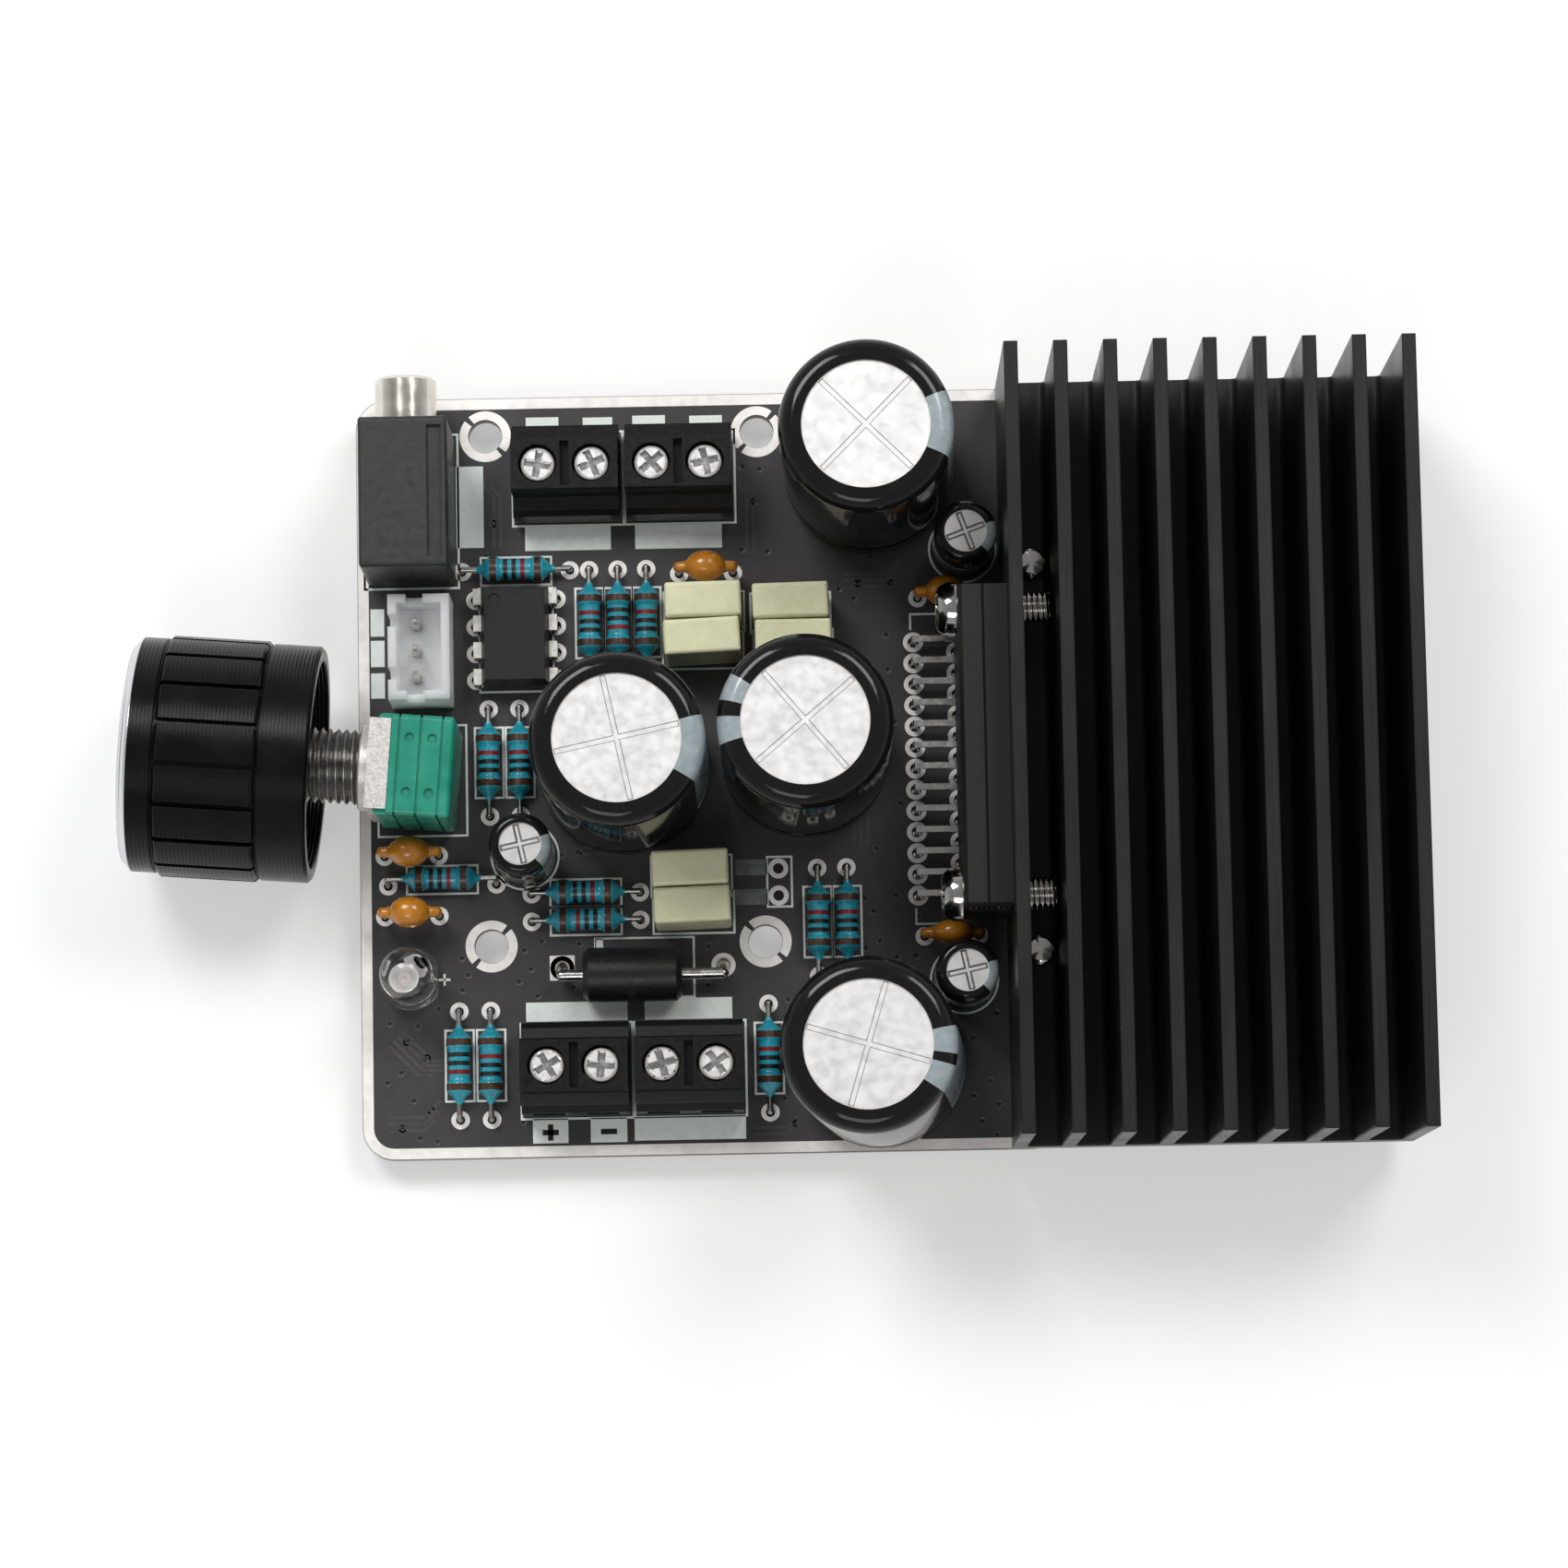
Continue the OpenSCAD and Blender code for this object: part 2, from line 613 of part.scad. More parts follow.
module audio_jack_body() color([0.08, 0.08, 0.09]) {
    edge_r = 0.4;
    back_wall = 1.8;
    channel_w = 1.3;
    channel_edge = 0.6;
    channel_end = 0.9;
    channel_deep = 0.4;
    relief_l = 4;
    relief_h = 0.3;
    lane = contact_t + 2 * contact_room;
    difference() {
        translate([jack_x, jack_y, board_t]) rounded_box(jack_w, jack_l, jack_h, edge_r);
        translate([jack_x, jack_front_y + over, board_t + jack_axis_h]) rotate([90, 0, 0]) {
            cylinder(d = jack_barrel_d + 2 * seat_clear, h = barrel_in + over);
            cylinder(d = jack_bore_d, h = jack_l - back_wall + over);
        }
        // Lanes for the contact springs, open to the plug bore and to the board
        for (c = jack_contacts)
            translate([jack_x + c[0] * jack_contact_x - lane / 2, jack_front_y - c[1] - lane / 2,
                       board_t - over])
                cube([lane, lane, jack_axis_h + contact_h / 2 + contact_room + over]);
        // Shallow channel along the top
        translate([jack_x + jack_w / 2 - channel_edge - channel_w, jack_y - jack_l / 2 + channel_end,
                   board_t + jack_h - channel_deep])
            cube([channel_w, jack_l - 2 * channel_end, channel_deep + over]);
        // Foot relief under the body
        translate([jack_x - jack_w / 2 - over, jack_y - relief_l / 2, board_t - over])
            cube([jack_w + 2 * over, relief_l, relief_h + over]);
    }
}

module audio_jack_barrel() color("silver") {
    edge = 0.3;
    barrel_l = barrel_in + jack_barrel_out;
    translate([jack_x, jack_front_y - barrel_in, board_t + jack_axis_h]) rotate([-90, 0, 0])
        difference() {
            union() {
                cylinder(d = jack_barrel_d, h = barrel_l - edge);
                translate([0, 0, barrel_l - edge])
                    cylinder(d1 = jack_barrel_d, d2 = jack_barrel_d - 2 * edge, h = edge);
            }
            translate([0, 0, -over]) cylinder(d = jack_bore_d, h = barrel_l + 2 * over);
        }
}

module audio_jack_contacts() color("gold") {
    side = jack_pin_d * 0.6;
    for (i = [0:len(jack_contacts) - 1]) {
        q = jack_pins_at[i];
        translate([q[0] - contact_t / 2, q[1] - side / 2, -lead_stub])
            cube([contact_t, side, lead_stub + board_t + jack_axis_h + contact_h / 2]);
    }
}

// Input header

module input_header() color([0.92, 0.92, 0.88]) {
    floor_t = 2.2;
    slot_w = 1.2;
    slot_up = 1;
    end_slot_w = 1.6;
    end_slot_up = 2.2;
    pin_room = header_pin + 2 * seat_clear;
    translate([header_x, header_y, board_t]) difference() {
        translate([0, 0, header_h / 2]) cube([header_w, header_l, header_h], center = true);
        translate([0, 0, floor_t + header_h / 2])
            cube([header_w - 2 * header_wall, header_l - 2 * header_wall, header_h], center = true);
        // Two key slots in the left wall and a notch in each end wall
        for (s = [-1, 1]) {
            translate([-header_w / 2, s * header_pitch, floor_t + slot_up + header_h / 2])
                cube([3 * header_wall, slot_w, header_h], center = true);
            translate([header_pin_shift, s * header_l / 2, floor_t + end_slot_up + header_h / 2])
                cube([end_slot_w, 3 * header_wall, header_h], center = true);
        }
        for (i = [-1, 0, 1])
            translate([header_pin_shift, i * header_pitch, 0])
                cube([pin_room, pin_room, 3 * floor_t], center = true);
    }
}

module input_header_pins() color("silver") {
    tip = 0.5;
    below_rim = 0.6;
    height = lead_stub + board_t + header_h - below_rim;
    for (q = header_pins_at)
        translate([q[0], q[1], -lead_stub]) {
            translate([-header_pin / 2, -header_pin / 2, 0])
                cube([header_pin, header_pin, height - tip]);
            translate([0, 0, height - tip]) rotate([0, 0, 45])
                cylinder(d1 = header_pin_d, d2 = header_pin_d / 2, h = tip, $fn = 4);
        }
}

// Volume control: local X runs out along the shaft, from the front of the plate

module pot_frame() {
    translate([pot_x, pot_y, board_t]) rotate([0, 0, 180 + pot_yaw]) children();
}

module on_shaft() {
    pot_frame() translate([0, 0, pot_axis_h]) rotate([0, 90, 0]) children();
}

pot_fold_t = 0.5;
pot_fold_gap = 0.05;
pot_pin_in = 2.8;
// How far the shaft's bore reaches into the body, and its room behind the bushing
shaft_in = 5;
shaft_end_gap = 0.5;
shaft_room = 0.3;

module volume_pot_body() color([0.05, 0.5, 0.4]) {
    edge_r = 0.5;
    seam = 0.25;
    wafer = pot_d * 0.28;
    dimple_d = 0.9;
    dimple_deep = 0.3;
    dimple_y = pot_w * 0.27;
    pin_end_room = 0.2;
    pot_frame() difference() {
        translate([-pot_plate_t - pot_d / 2, 0, 0]) rounded_box(pot_d, pot_w, pot_h, edge_r);
        // Step under the folded top of the plate
        translate([-pot_plate_fold - pot_fold_gap, -pot_w, pot_h - pot_fold_t])
            cube([pot_plate_fold + over, 2 * pot_w, 2 * pot_fold_t]);
        // Seams between the stacked wafers
        for (i = [1:3])
            translate([-pot_plate_t - i * wafer, 0, 0]) difference() {
                translate([-seam / 2, -pot_w, -over]) cube([seam, 2 * pot_w, pot_h + 2 * over]);
                translate([-seam, -pot_w / 2 + seam, -2 * over])
                    cube([2 * seam, pot_w - 2 * seam, pot_h - seam + 2 * over]);
            }
        // Four moulded dimples on top, in the two rear wafers
        for (i = [1.5, 2.55], y = [-1, 1])
            translate([-pot_plate_t - i * wafer, y * dimple_y, pot_h - dimple_deep])
                cylinder(d = dimple_d, h = dimple_deep + over);
        translate([-pot_plate_t - shaft_in, 0, pot_axis_h]) rotate([0, 90, 0])
            cylinder(d = shaft_d + 2 * shaft_room, h = shaft_in + over);
        for (v = pot_pins)
            translate([v[0], v[1], -over])
                cylinder(d = pot_pin_d + 2 * seat_clear, h = pot_pin_in + pin_end_room + over);
    }
}

module volume_pot_plate() color("silver") {
    plate_in = 0.5;
    plate_up = 0.4;
    plate_w = pot_w - 2 * plate_in;
    pot_frame() difference() {
        union() {
            translate([-pot_plate_t, -plate_w / 2, plate_up])
                cube([pot_plate_t, plate_w, pot_h - plate_up]);
            translate([-pot_plate_fold, -plate_w / 2, pot_h - pot_fold_t])
                cube([pot_plate_fold, plate_w, pot_fold_t]);
        }
        translate([-2 * pot_plate_t, 0, pot_axis_h]) rotate([0, 90, 0])
            cylinder(d = shaft_d + 2 * shaft_room, h = 3 * pot_plate_t);
    }
}

module volume_pot_bushing() color([0.7, 0.7, 0.7]) {
    collar_l = 0.9;
    collar_step = 0.5;
    edge = 0.35;
    on_shaft() difference() {
        union() {
            cylinder(d = bushing_d + 2 * collar_step, h = collar_l);
            cylinder(d = bushing_d, h = bushing_l - edge);
            translate([0, 0, bushing_l - edge])
                cylinder(d1 = bushing_d, d2 = bushing_d - 2 * edge, h = edge);
        }
        translate([0, 0, -over]) cylinder(d = shaft_d + 2 * shaft_clear, h = bushing_l + 2 * over);
    }
}

module volume_pot_terminals() color("silver") {
    for (q = pot_pins_at)
        translate([q[0], q[1], -lead_stub]) cylinder(d = pot_pin_d, h = lead_stub + board_t + pot_pin_in);
}

// Knob: local Z runs out along the shaft, from the front of the plate

insert_set_in = 3;
insert_seat = 7;
knob_solid_l = 9.5;
insert_cap = 1.2;
insert_start = knob_gap + insert_set_in;
knob_hollow = knob_gap + knob_l - knob_solid_l;
insert_end = knob_hollow + insert_seat;
shaft_end = insert_end - insert_cap;

module volume_pot_shaft() color([0.75, 0.75, 0.72]) {
    slot_w = 1;
    slot_in = 2;
    shaft_start = shaft_end_gap - shaft_in;
    on_shaft() difference() {
        translate([0, 0, shaft_start]) cylinder(d = shaft_d, h = shaft_end - shaft_start);
        translate([-shaft_d, -slot_w / 2, insert_start + slot_in])
            cube([2 * shaft_d, slot_w, shaft_end]);
    }
}

module knob() color([0.11, 0.11, 0.12]) {
    rear = knob_gap;
    grip = rear + knob_rear_l;
    front = grip + knob_grip_l;
    tip = rear + knob_l;
    line = 0.3;
    grip_r = knob_d / 2;
    core_r = min(knob_front_d, knob_rear_d, knob_d) / 2 - line;
    face_r = knob_front_d / 2 - knob_bevel;
    on_shaft() difference() {
        rotate_extrude()
            polygon([[knob_rear_d / 2 - knob_wall, rear], [knob_rear_d / 2 - line, rear],
                     [knob_rear_d / 2, rear + line], [knob_rear_d / 2, grip - line],
                     [core_r, grip - line], [core_r, grip],
                     [grip_r - line, grip], [grip_r, grip + line],
                     [grip_r, front - line], [grip_r - line, front],
                     [core_r, front], [core_r, front + line],
                     [knob_front_d / 2, front + line], [knob_front_d / 2, tip - knob_bevel],
                     [face_r, tip], [0, tip], [0, insert_end + seat_clear],
                     [insert_d / 2 + seat_clear, insert_end + seat_clear],
                     [insert_d / 2 + seat_clear, knob_hollow],
                     [knob_rear_d / 2 - knob_wall, knob_hollow]]);
        // Grooves between the grip pads
        for (i = [0:knob_pads - 1])
            rotate([0, 0, (i + 0.5) * 360 / knob_pads])
                translate([core_r, -knob_groove_w / 2, grip]) cube([knob_d, knob_groove_w, knob_grip_l]);
    }
}

module knob_insert() color([0.2, 0.2, 0.2]) {
    on_shaft() difference() {
        translate([0, 0, insert_start]) cylinder(d = insert_d, h = insert_end - insert_start);
        translate([0, 0, insert_start - over])
            cylinder(d = shaft_d + 2 * seat_clear, h = shaft_end - insert_start + over + seat_clear);
    }
}

// Lamp

led_lift = 1;

module led_lens() color([0.85, 0.9, 0.92], 0.6) {
    flange_step = 0.4;
    flange_d = led_d + 2 * flange_step;
    flange_h = 1;
    on_board(led_place) translate([0, 0, led_lift]) difference() {
        rotate_extrude() union() {
            square([flange_d / 2, flange_h]);
            square([led_d / 2, led_h - led_d / 2]);
            intersection() {
                translate([0, led_h - led_d / 2]) circle(led_d / 2);
                square([led_d, led_h]);
            }
        }
        // Flat on the flange
        translate([led_d / 2, -led_d, -over]) cube([led_d, 2 * led_d, flange_h + over]);
    }
}

module led_leads() color("silver") {
    straight_leads(led_leads_at, lead_d, led_lift);
}

// Op amp

dip_lift = 0.7;
dip_h = 3.3;
dip_draft = 0.35;

// Section of a moulded package that narrows away from its parting line
function drafted(w) = [[-w / 2 + dip_draft, 0], [w / 2 - dip_draft, 0], [w / 2, dip_h / 2],
                       [w / 2 - dip_draft, dip_h], [-w / 2 + dip_draft, dip_h], [-w / 2, dip_h / 2]];

module op_amp() color([0.1, 0.1, 0.11]) {
    notch_d = 1.8;
    notch_deep = 0.5;
    mark_d = 1;
    mark_deep = 0.15;
    mark_in = 1.3;
    on_board(dip_place) translate([0, 0, dip_lift]) difference() {
        intersection() {
            translate([0, dip_l / 2, 0]) rotate([90, 0, 0])
                linear_extrude(dip_l) polygon(drafted(dip_w));
            translate([-dip_w / 2, 0, 0]) rotate([90, 0, 90])
                linear_extrude(dip_w) polygon(drafted(dip_l));
        }
        // End notch and the mark of the first pin
        translate([0, dip_l / 2, dip_h - notch_deep]) cylinder(d = notch_d, h = notch_deep + over);
        translate([-dip_w / 2 + mark_in, dip_l / 2 - mark_in, dip_h - mark_deep])
            cylinder(d = mark_d, h = mark_deep + over);
    }
}

module op_amp_leads() color("silver") {
    t = 0.25;
    shoulder_w = 1.5;
    pin_w = 0.5;
    exit_z = dip_lift + dip_h / 2;
    for (side = [0, 180], i = [-1.5:1:1.5])
        on_board(dip_place) rotate([0, 0, side]) translate([0, i * dip_pitch, 0]) {
            translate([dip_w / 2, -shoulder_w / 2, exit_z - t / 2])
                cube([dip_rows / 2 - dip_w / 2 + t / 2, shoulder_w, t]);
            translate([dip_rows / 2 - t / 2, -shoulder_w / 2, dip_lift / 2])
                cube([t, shoulder_w, exit_z - dip_lift / 2]);
            translate([dip_rows / 2 - t / 2, -pin_w / 2, -board_t - lead_stub])
                cube([t, pin_w, board_t + lead_stub + exit_z]);
        }
}

// Small dipped and boxed capacitors

ceramic_lift = 2.7;
ceramic_h = 3.4;

module ceramic_capacitors() color([0.75, 0.42, 0.12]) {
    for (p = ceramic_places) {
        r = p[3] / 2;
        on_board(p) translate([0, 0, ceramic_lift]) hull()
            for (x = [-1, 1], z = [r, ceramic_h - r])
                translate([x * (ceramic_w / 2 - r), 0, z]) sphere(r, $fn = facet_fn);
    }
}

// Leads of a dipped capacitor: up from the board and in to the coated body
module ceramic_capacitor_leads() color("silver") {
    body_end = ceramic_w / 2;
    for (p = ceramic_places, side = [0, 180])
        on_board(p) rotate([0, 0, side]) translate([-ceramic_pitch / 2, 0, 0])
            bent_lead(ceramic_pitch / 2, body_end, lead_d, ceramic_lift + p[3] / 2, 0);
}

module film_capacitors() color([0.88, 0.86, 0.62]) {
    edge_r = 0.35;
    for (p = film_places)
        on_board(p) rounded_box(film_l, film_t, film_h, edge_r);
}

module film_capacitor_leads() color("silver") {
    straight_leads(film_leads_at, lead_d, 0);
}

// Resistors and diode

axial_gap = 0.1;
resistor_axis_h = resistor_d / 2 + axial_gap;
diode_axis_h = diode_d / 2 + axial_gap;

// Puts a part on its leaning axis above the board
module on_axis(p, axis_h) {
    on_board(p) rotate([p[4], 0, 0]) translate([0, 0, axis_h + p[3]]) rotate([0, 90, 0]) children();
}

module resistor_bodies() color([0.2, 0.5, 0.55]) {
    end = resistor_l / 2;
    r = resistor_d / 2;
    waist = r * 0.86;
    half = [[r * 0.5, end], [r * 0.85, end - 0.2], [r, end - 0.6], [r, end - 1.2],
            [r * 0.96, end - 1.5], [waist, end - 1.9]];
    other_half = [for (i = [len(half) - 1:-1:0]) [half[i][0], -half[i][1]]];
    outline = concat([[0, end]], half, other_half, [[0, -end]]);
    for (p = resistor_places)
        on_axis(p, resistor_axis_h) rotate_extrude() polygon(outline);
}

module axial_leads(p, pitch, d, axis_h, body_l, shift) {
    for (side = [-1, 1])
        on_board(p) translate([side * pitch / 2, 0, 0]) mirror([side > 0 ? 1 : 0, 0, 0])
            bent_lead(pitch / 2, body_l / 2 - side * shift, d, axis_h + p[3], p[4]);
}

module resistor_leads() color("silver") {
    for (p = resistor_places)
        axial_leads(p, resistor_pitch, lead_d, resistor_axis_h, resistor_l, 0);
}

module diode() color([0.1, 0.1, 0.11]) {
    bevel = 0.5;
    r = diode_d / 2;
    end = diode_l / 2;
    on_axis(diode_place, diode_axis_h) translate([0, 0, diode_shift]) rotate_extrude()
        polygon([[0, -end], [r - bevel, -end], [r, -end + bevel],
                 [r, end - bevel], [r - bevel, end], [0, end]]);
}

module diode_leads() color("silver") {
    axial_leads(diode_place, diode_pitch, diode_lead_d, diode_axis_h, diode_l, -diode_shift);
}

// Electrolytic capacitors: a can with a crimped groove, a sleeve lip and a scored vent

module can_profile(r, h, vent_r, lip) {
    groove_z = h * 0.1;
    groove = r * 0.05;
    round_r = r * 0.12;
    difference() {
        union() {
            square([r, h - round_r]);
            square([r - round_r, h]);
            translate([r - round_r, h - round_r]) circle(round_r);
        }
        translate([r + groove, groove_z + groove]) circle(2 * groove);
        translate([0, h - lip]) square([vent_r, 2 * lip]);
    }
}

module can(d, h, vent_r, turn, score_w) {
    lip = d * 0.016;
    difference() {
        rotate_extrude() can_profile(d / 2, h, vent_r, lip);
        for (a = [0, 90])
            rotate([0, 0, turn + a]) translate([0, 0, h - lip])
                cube([vent_r * 1.8, score_w, 2 * lip], center = true);
    }
}

// Leans a can on the low edge of its rim, with its foot's middle over its place
module on_rim(p) {
    translate([p[0], p[1], board_t + filter_d / 2 * sin(p[3])]) rotate([0, -p[3], 0]) children();
}

module filter_capacitor(i) color([0.1, 0.1, 0.12]) {
    score_w = 0.6;
    p = filter_places[i];
    on_rim(p) can(filter_d, filter_h, filter_vent_r, p[2], score_w);
}

module filter_capacitor_1() { filter_capacitor(0); }
module filter_capacitor_2() { filter_capacitor(1); }
module filter_capacitor_3() { filter_capacitor(2); }
module filter_capacitor_4() { filter_capacitor(3); }

module small_capacitors() color([0.1, 0.1, 0.12]) {
    vent_r = small_d * 0.36;
    vent_turn = 20;
    score_w = 0.3;
    for (p = small_places)
        on_board(p) can(small_d, small_h, vent_r, vent_turn, score_w);
}

module electrolytic_leads() color("silver") {
    straight_leads(small_leads_at, lead_d, 0);
    for (p = filter_places)
        difference() {
            straight_leads(lead_pair([p[0], p[1], 90], filter_pitch), filter_lead_d,
                           filter_d * sin(p[3]) + eps);
            on_rim(p) cylinder(d = filter_d + over, h = filter_h);
        }
}

// Screw terminals: local X along the ways, local Y out towards the wires

module terminal_block(i) color([0.1, 0.1, 0.11]) {
    edge = 0.2;
    step_edge = 0.55;
    step_slope = 0.2;
    ledge_drop = 0.9;
    ledge_slope = 0.4;
    ledge_in = 0.65;
    sill_slope = 0.3;
    ridge_wall = 0.25;
    entry_lip = 0.25;
    entry_drop = 0.2;
    entry_rise = 0.4;
    pin_room = 0.15;
    slot_w = 0.8;
    slot_deep = 1;
    slot_end = 0.45;
    chamber_half = terminal_ridge - ridge_wall;
    entry_w = chamber_w - 2 * entry_lip;
    ledge_y = terminal_front - ledge_in;
    ledge_z = terminal_h - ledge_drop;
    sill_z = terminal_step_h + sill_slope;
    on_board(terminal_places[i]) difference() {
        translate([-terminal_w / 2, 0, 0]) rotate([90, 0, 90]) linear_extrude(terminal_w)
            polygon([[-terminal_rear, 0], [-terminal_rear, terminal_step_h - step_edge],
                     [-terminal_rear + step_edge, terminal_step_h],
                     [-terminal_ridge, terminal_step_h + step_slope],
                     [-terminal_ridge, terminal_h - edge], [-terminal_ridge + edge, terminal_h],
                     [terminal_ridge - edge, terminal_h], [terminal_ridge, ledge_z],
                     [ledge_y, ledge_z - ledge_slope], [ledge_y, sill_z + sill_slope],
                     [terminal_front, sill_z], [terminal_front, 0]]);
        for (way = [-1, 1])
            translate([way * terminal_pitch / 2, 0, 0]) {
                // Chamber of the contact cage, wire entry, screw hole and pin hole
                translate([-chamber_w / 2, -chamber_half, terminal_floor])
                    cube([chamber_w, 2 * chamber_half, cage_h + 2 * cage_room]);
                translate([-entry_w / 2, 0, terminal_floor + cage_t - entry_drop])
                    cube([entry_w, terminal_front + over, cage_h - 2 * cage_t + entry_drop + entry_rise]);
                translate([0, 0, cage_top])
                    cylinder(d = terminal_head_d + 2 * clamp_clear, h = terminal_h);
                translate([0, 0, -over])
                    cylinder(d = terminal_pin_d + 2 * pin_room, h = terminal_floor + 2 * over);
            }
        // Slot between the two ways
        translate([-slot_w / 2, -terminal_ridge + slot_end, terminal_h - slot_deep])
            cube([slot_w, 2 * (terminal_ridge - slot_end), slot_deep + over]);
    }
}

module terminal_block_1() { terminal_block(0); }
module terminal_block_2() { terminal_block(1); }
module terminal_block_3() { terminal_block(2); }
module terminal_block_4() { terminal_block(3); }

// A folded cage with a solder pin; the screw turns in its top, and the wire goes through it
module terminal_contacts() color("gold") {
    for (p = terminal_ways)
        on_board(p) {
            difference() {
                translate([-cage_w / 2, -cage_l / 2, terminal_floor]) cube([cage_w, cage_l, cage_h]);
                translate([-cage_w / 2 + cage_t, -cage_l, terminal_floor + cage_t])
                    cube([cage_w - 2 * cage_t, 2 * cage_l, cage_h - 2 * cage_t]);
                // The screw's way, down to where its tip stops
                translate([0, 0, screw_low])
                    cylinder(d = terminal_screw_d + 2 * thread_clear, h = cage_top - screw_low + over);
            }
            translate([0, 0, -board_t - lead_stub])
                cylinder(d = terminal_pin_d, h = board_t + lead_stub + terminal_floor);
        }
}

module terminal_screw(i) color("silver") {
    edge = 0.3;
    slot_w = 0.55;
    slot_deep = 0.6;
    slot_turn = 25;
    cross_l = terminal_head_d * 0.6;
    head_foot = screw_head_top - terminal_head_h;
    on_board(terminal_ways[i]) {
        translate([0, 0, screw_tip]) cylinder(d = terminal_screw_d, h = head_foot - screw_tip + eps);
        translate([0, 0, head_foot]) difference() {
            union() {
                cylinder(d = terminal_head_d, h = terminal_head_h - edge);
                translate([0, 0, terminal_head_h - edge])
                    cylinder(d1 = terminal_head_d, d2 = terminal_head_d - 2 * edge, h = edge);
            }
            // Slot across the head and a shorter one over it
            translate([0, 0, terminal_head_h]) {
                rotate([0, 0, slot_turn])
                    cube([2 * terminal_head_d, slot_w, 2 * slot_deep], center = true);
                rotate([0, 0, slot_turn + 90]) cube([cross_l, slot_w, 2 * slot_deep], center = true);
            }
        }
    }
}

module terminal_clamp(i) color("gold") {
    plate_w = cage_w - 2 * cage_t - 2 * clamp_clear;
    on_board(terminal_ways[i]) translate([-plate_w / 2, -cage_l / 2, clamp_top - cage_t])
        cube([plate_w, cage_l, cage_t]);
}

circuit_board();
solder_joints();
heatsink();
heatsink_screws();
amplifier_chip();
amplifier_chip_leads();
chip_screws();
audio_jack_body();
audio_jack_barrel();
audio_jack_contacts();
input_header();
input_header_pins();
volume_pot_body();
volume_pot_plate();
volume_pot_bushing();
volume_pot_terminals();
volume_pot_shaft();
knob();
knob_insert();
led_lens();
led_leads();
op_amp();
op_amp_leads();
ceramic_capacitors();
ceramic_capacitor_leads();
film_capacitors();
film_capacitor_leads();
resistor_bodies();
resistor_leads();
diode();
diode_leads();
filter_capacitor_1();
filter_capacitor_2();
filter_capacitor_3();
filter_capacitor_4();
small_capacitors();
electrolytic_leads();
terminal_block_1();
terminal_block_2();
terminal_block_3();
terminal_block_4();
terminal_contacts();
for (i = [1:8])
    terminal_screw(i - 1);
for (i = [1:8])
    terminal_clamp(i - 1);
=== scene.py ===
"""Looks of the audio amplifier board: a finish for every CAD node, the printed top of the board,
and the turned, dipped, banded and threaded pieces that stand in for plain solids."""

import json
import math
import random

import bmesh
import bpy
from mathutils import Matrix, Vector


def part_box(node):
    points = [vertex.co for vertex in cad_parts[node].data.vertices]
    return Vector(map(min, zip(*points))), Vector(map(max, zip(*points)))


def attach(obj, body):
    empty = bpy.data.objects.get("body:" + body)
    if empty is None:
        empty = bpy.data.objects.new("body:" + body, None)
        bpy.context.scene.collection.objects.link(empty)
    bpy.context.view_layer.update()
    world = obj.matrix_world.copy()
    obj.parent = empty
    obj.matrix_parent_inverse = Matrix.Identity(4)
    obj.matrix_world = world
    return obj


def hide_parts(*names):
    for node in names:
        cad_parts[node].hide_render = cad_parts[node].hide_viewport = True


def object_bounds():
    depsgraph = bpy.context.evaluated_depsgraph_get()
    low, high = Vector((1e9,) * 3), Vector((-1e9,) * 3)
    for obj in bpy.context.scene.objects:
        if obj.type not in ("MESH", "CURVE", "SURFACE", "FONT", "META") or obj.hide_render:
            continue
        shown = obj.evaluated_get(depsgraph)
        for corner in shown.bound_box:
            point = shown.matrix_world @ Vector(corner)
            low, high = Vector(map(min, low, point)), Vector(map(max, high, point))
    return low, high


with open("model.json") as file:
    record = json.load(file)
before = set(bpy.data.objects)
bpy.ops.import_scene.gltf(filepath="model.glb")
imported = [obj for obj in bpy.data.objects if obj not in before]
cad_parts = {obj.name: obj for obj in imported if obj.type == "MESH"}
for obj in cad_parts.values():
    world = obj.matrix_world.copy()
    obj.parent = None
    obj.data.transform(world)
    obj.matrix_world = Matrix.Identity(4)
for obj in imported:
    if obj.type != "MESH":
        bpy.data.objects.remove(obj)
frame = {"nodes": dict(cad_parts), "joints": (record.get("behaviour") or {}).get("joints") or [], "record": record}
cad_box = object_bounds()

MM = 0.001
SCALE = Matrix.Scale(MM, 4)
MERGE_DISTANCE = 0.0001 * MM
CRISP_ANGLE = 35
MITRE_LIMIT = 0.3

# The photograph's camera: focal length in pixels, distance to the aimed point, tilt and roll
PHOTO_SIDE = 1700
FOCAL = 6224
CAMERA_DISTANCE = 540 * MM
CAMERA_TILT = math.radians(6.84)
CAMERA_ROLL = math.radians(1.07)
CAMERA_TARGET = Vector((14.84, -9.42, 1.6)) * MM
SENSOR = 36
CLIP_START = 0.01

BOARD_LOW, BOARD_HIGH = (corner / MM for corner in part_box("circuit_board"))
BOARD_TOP = BOARD_HIGH.z


# Mesh building, in millimetres

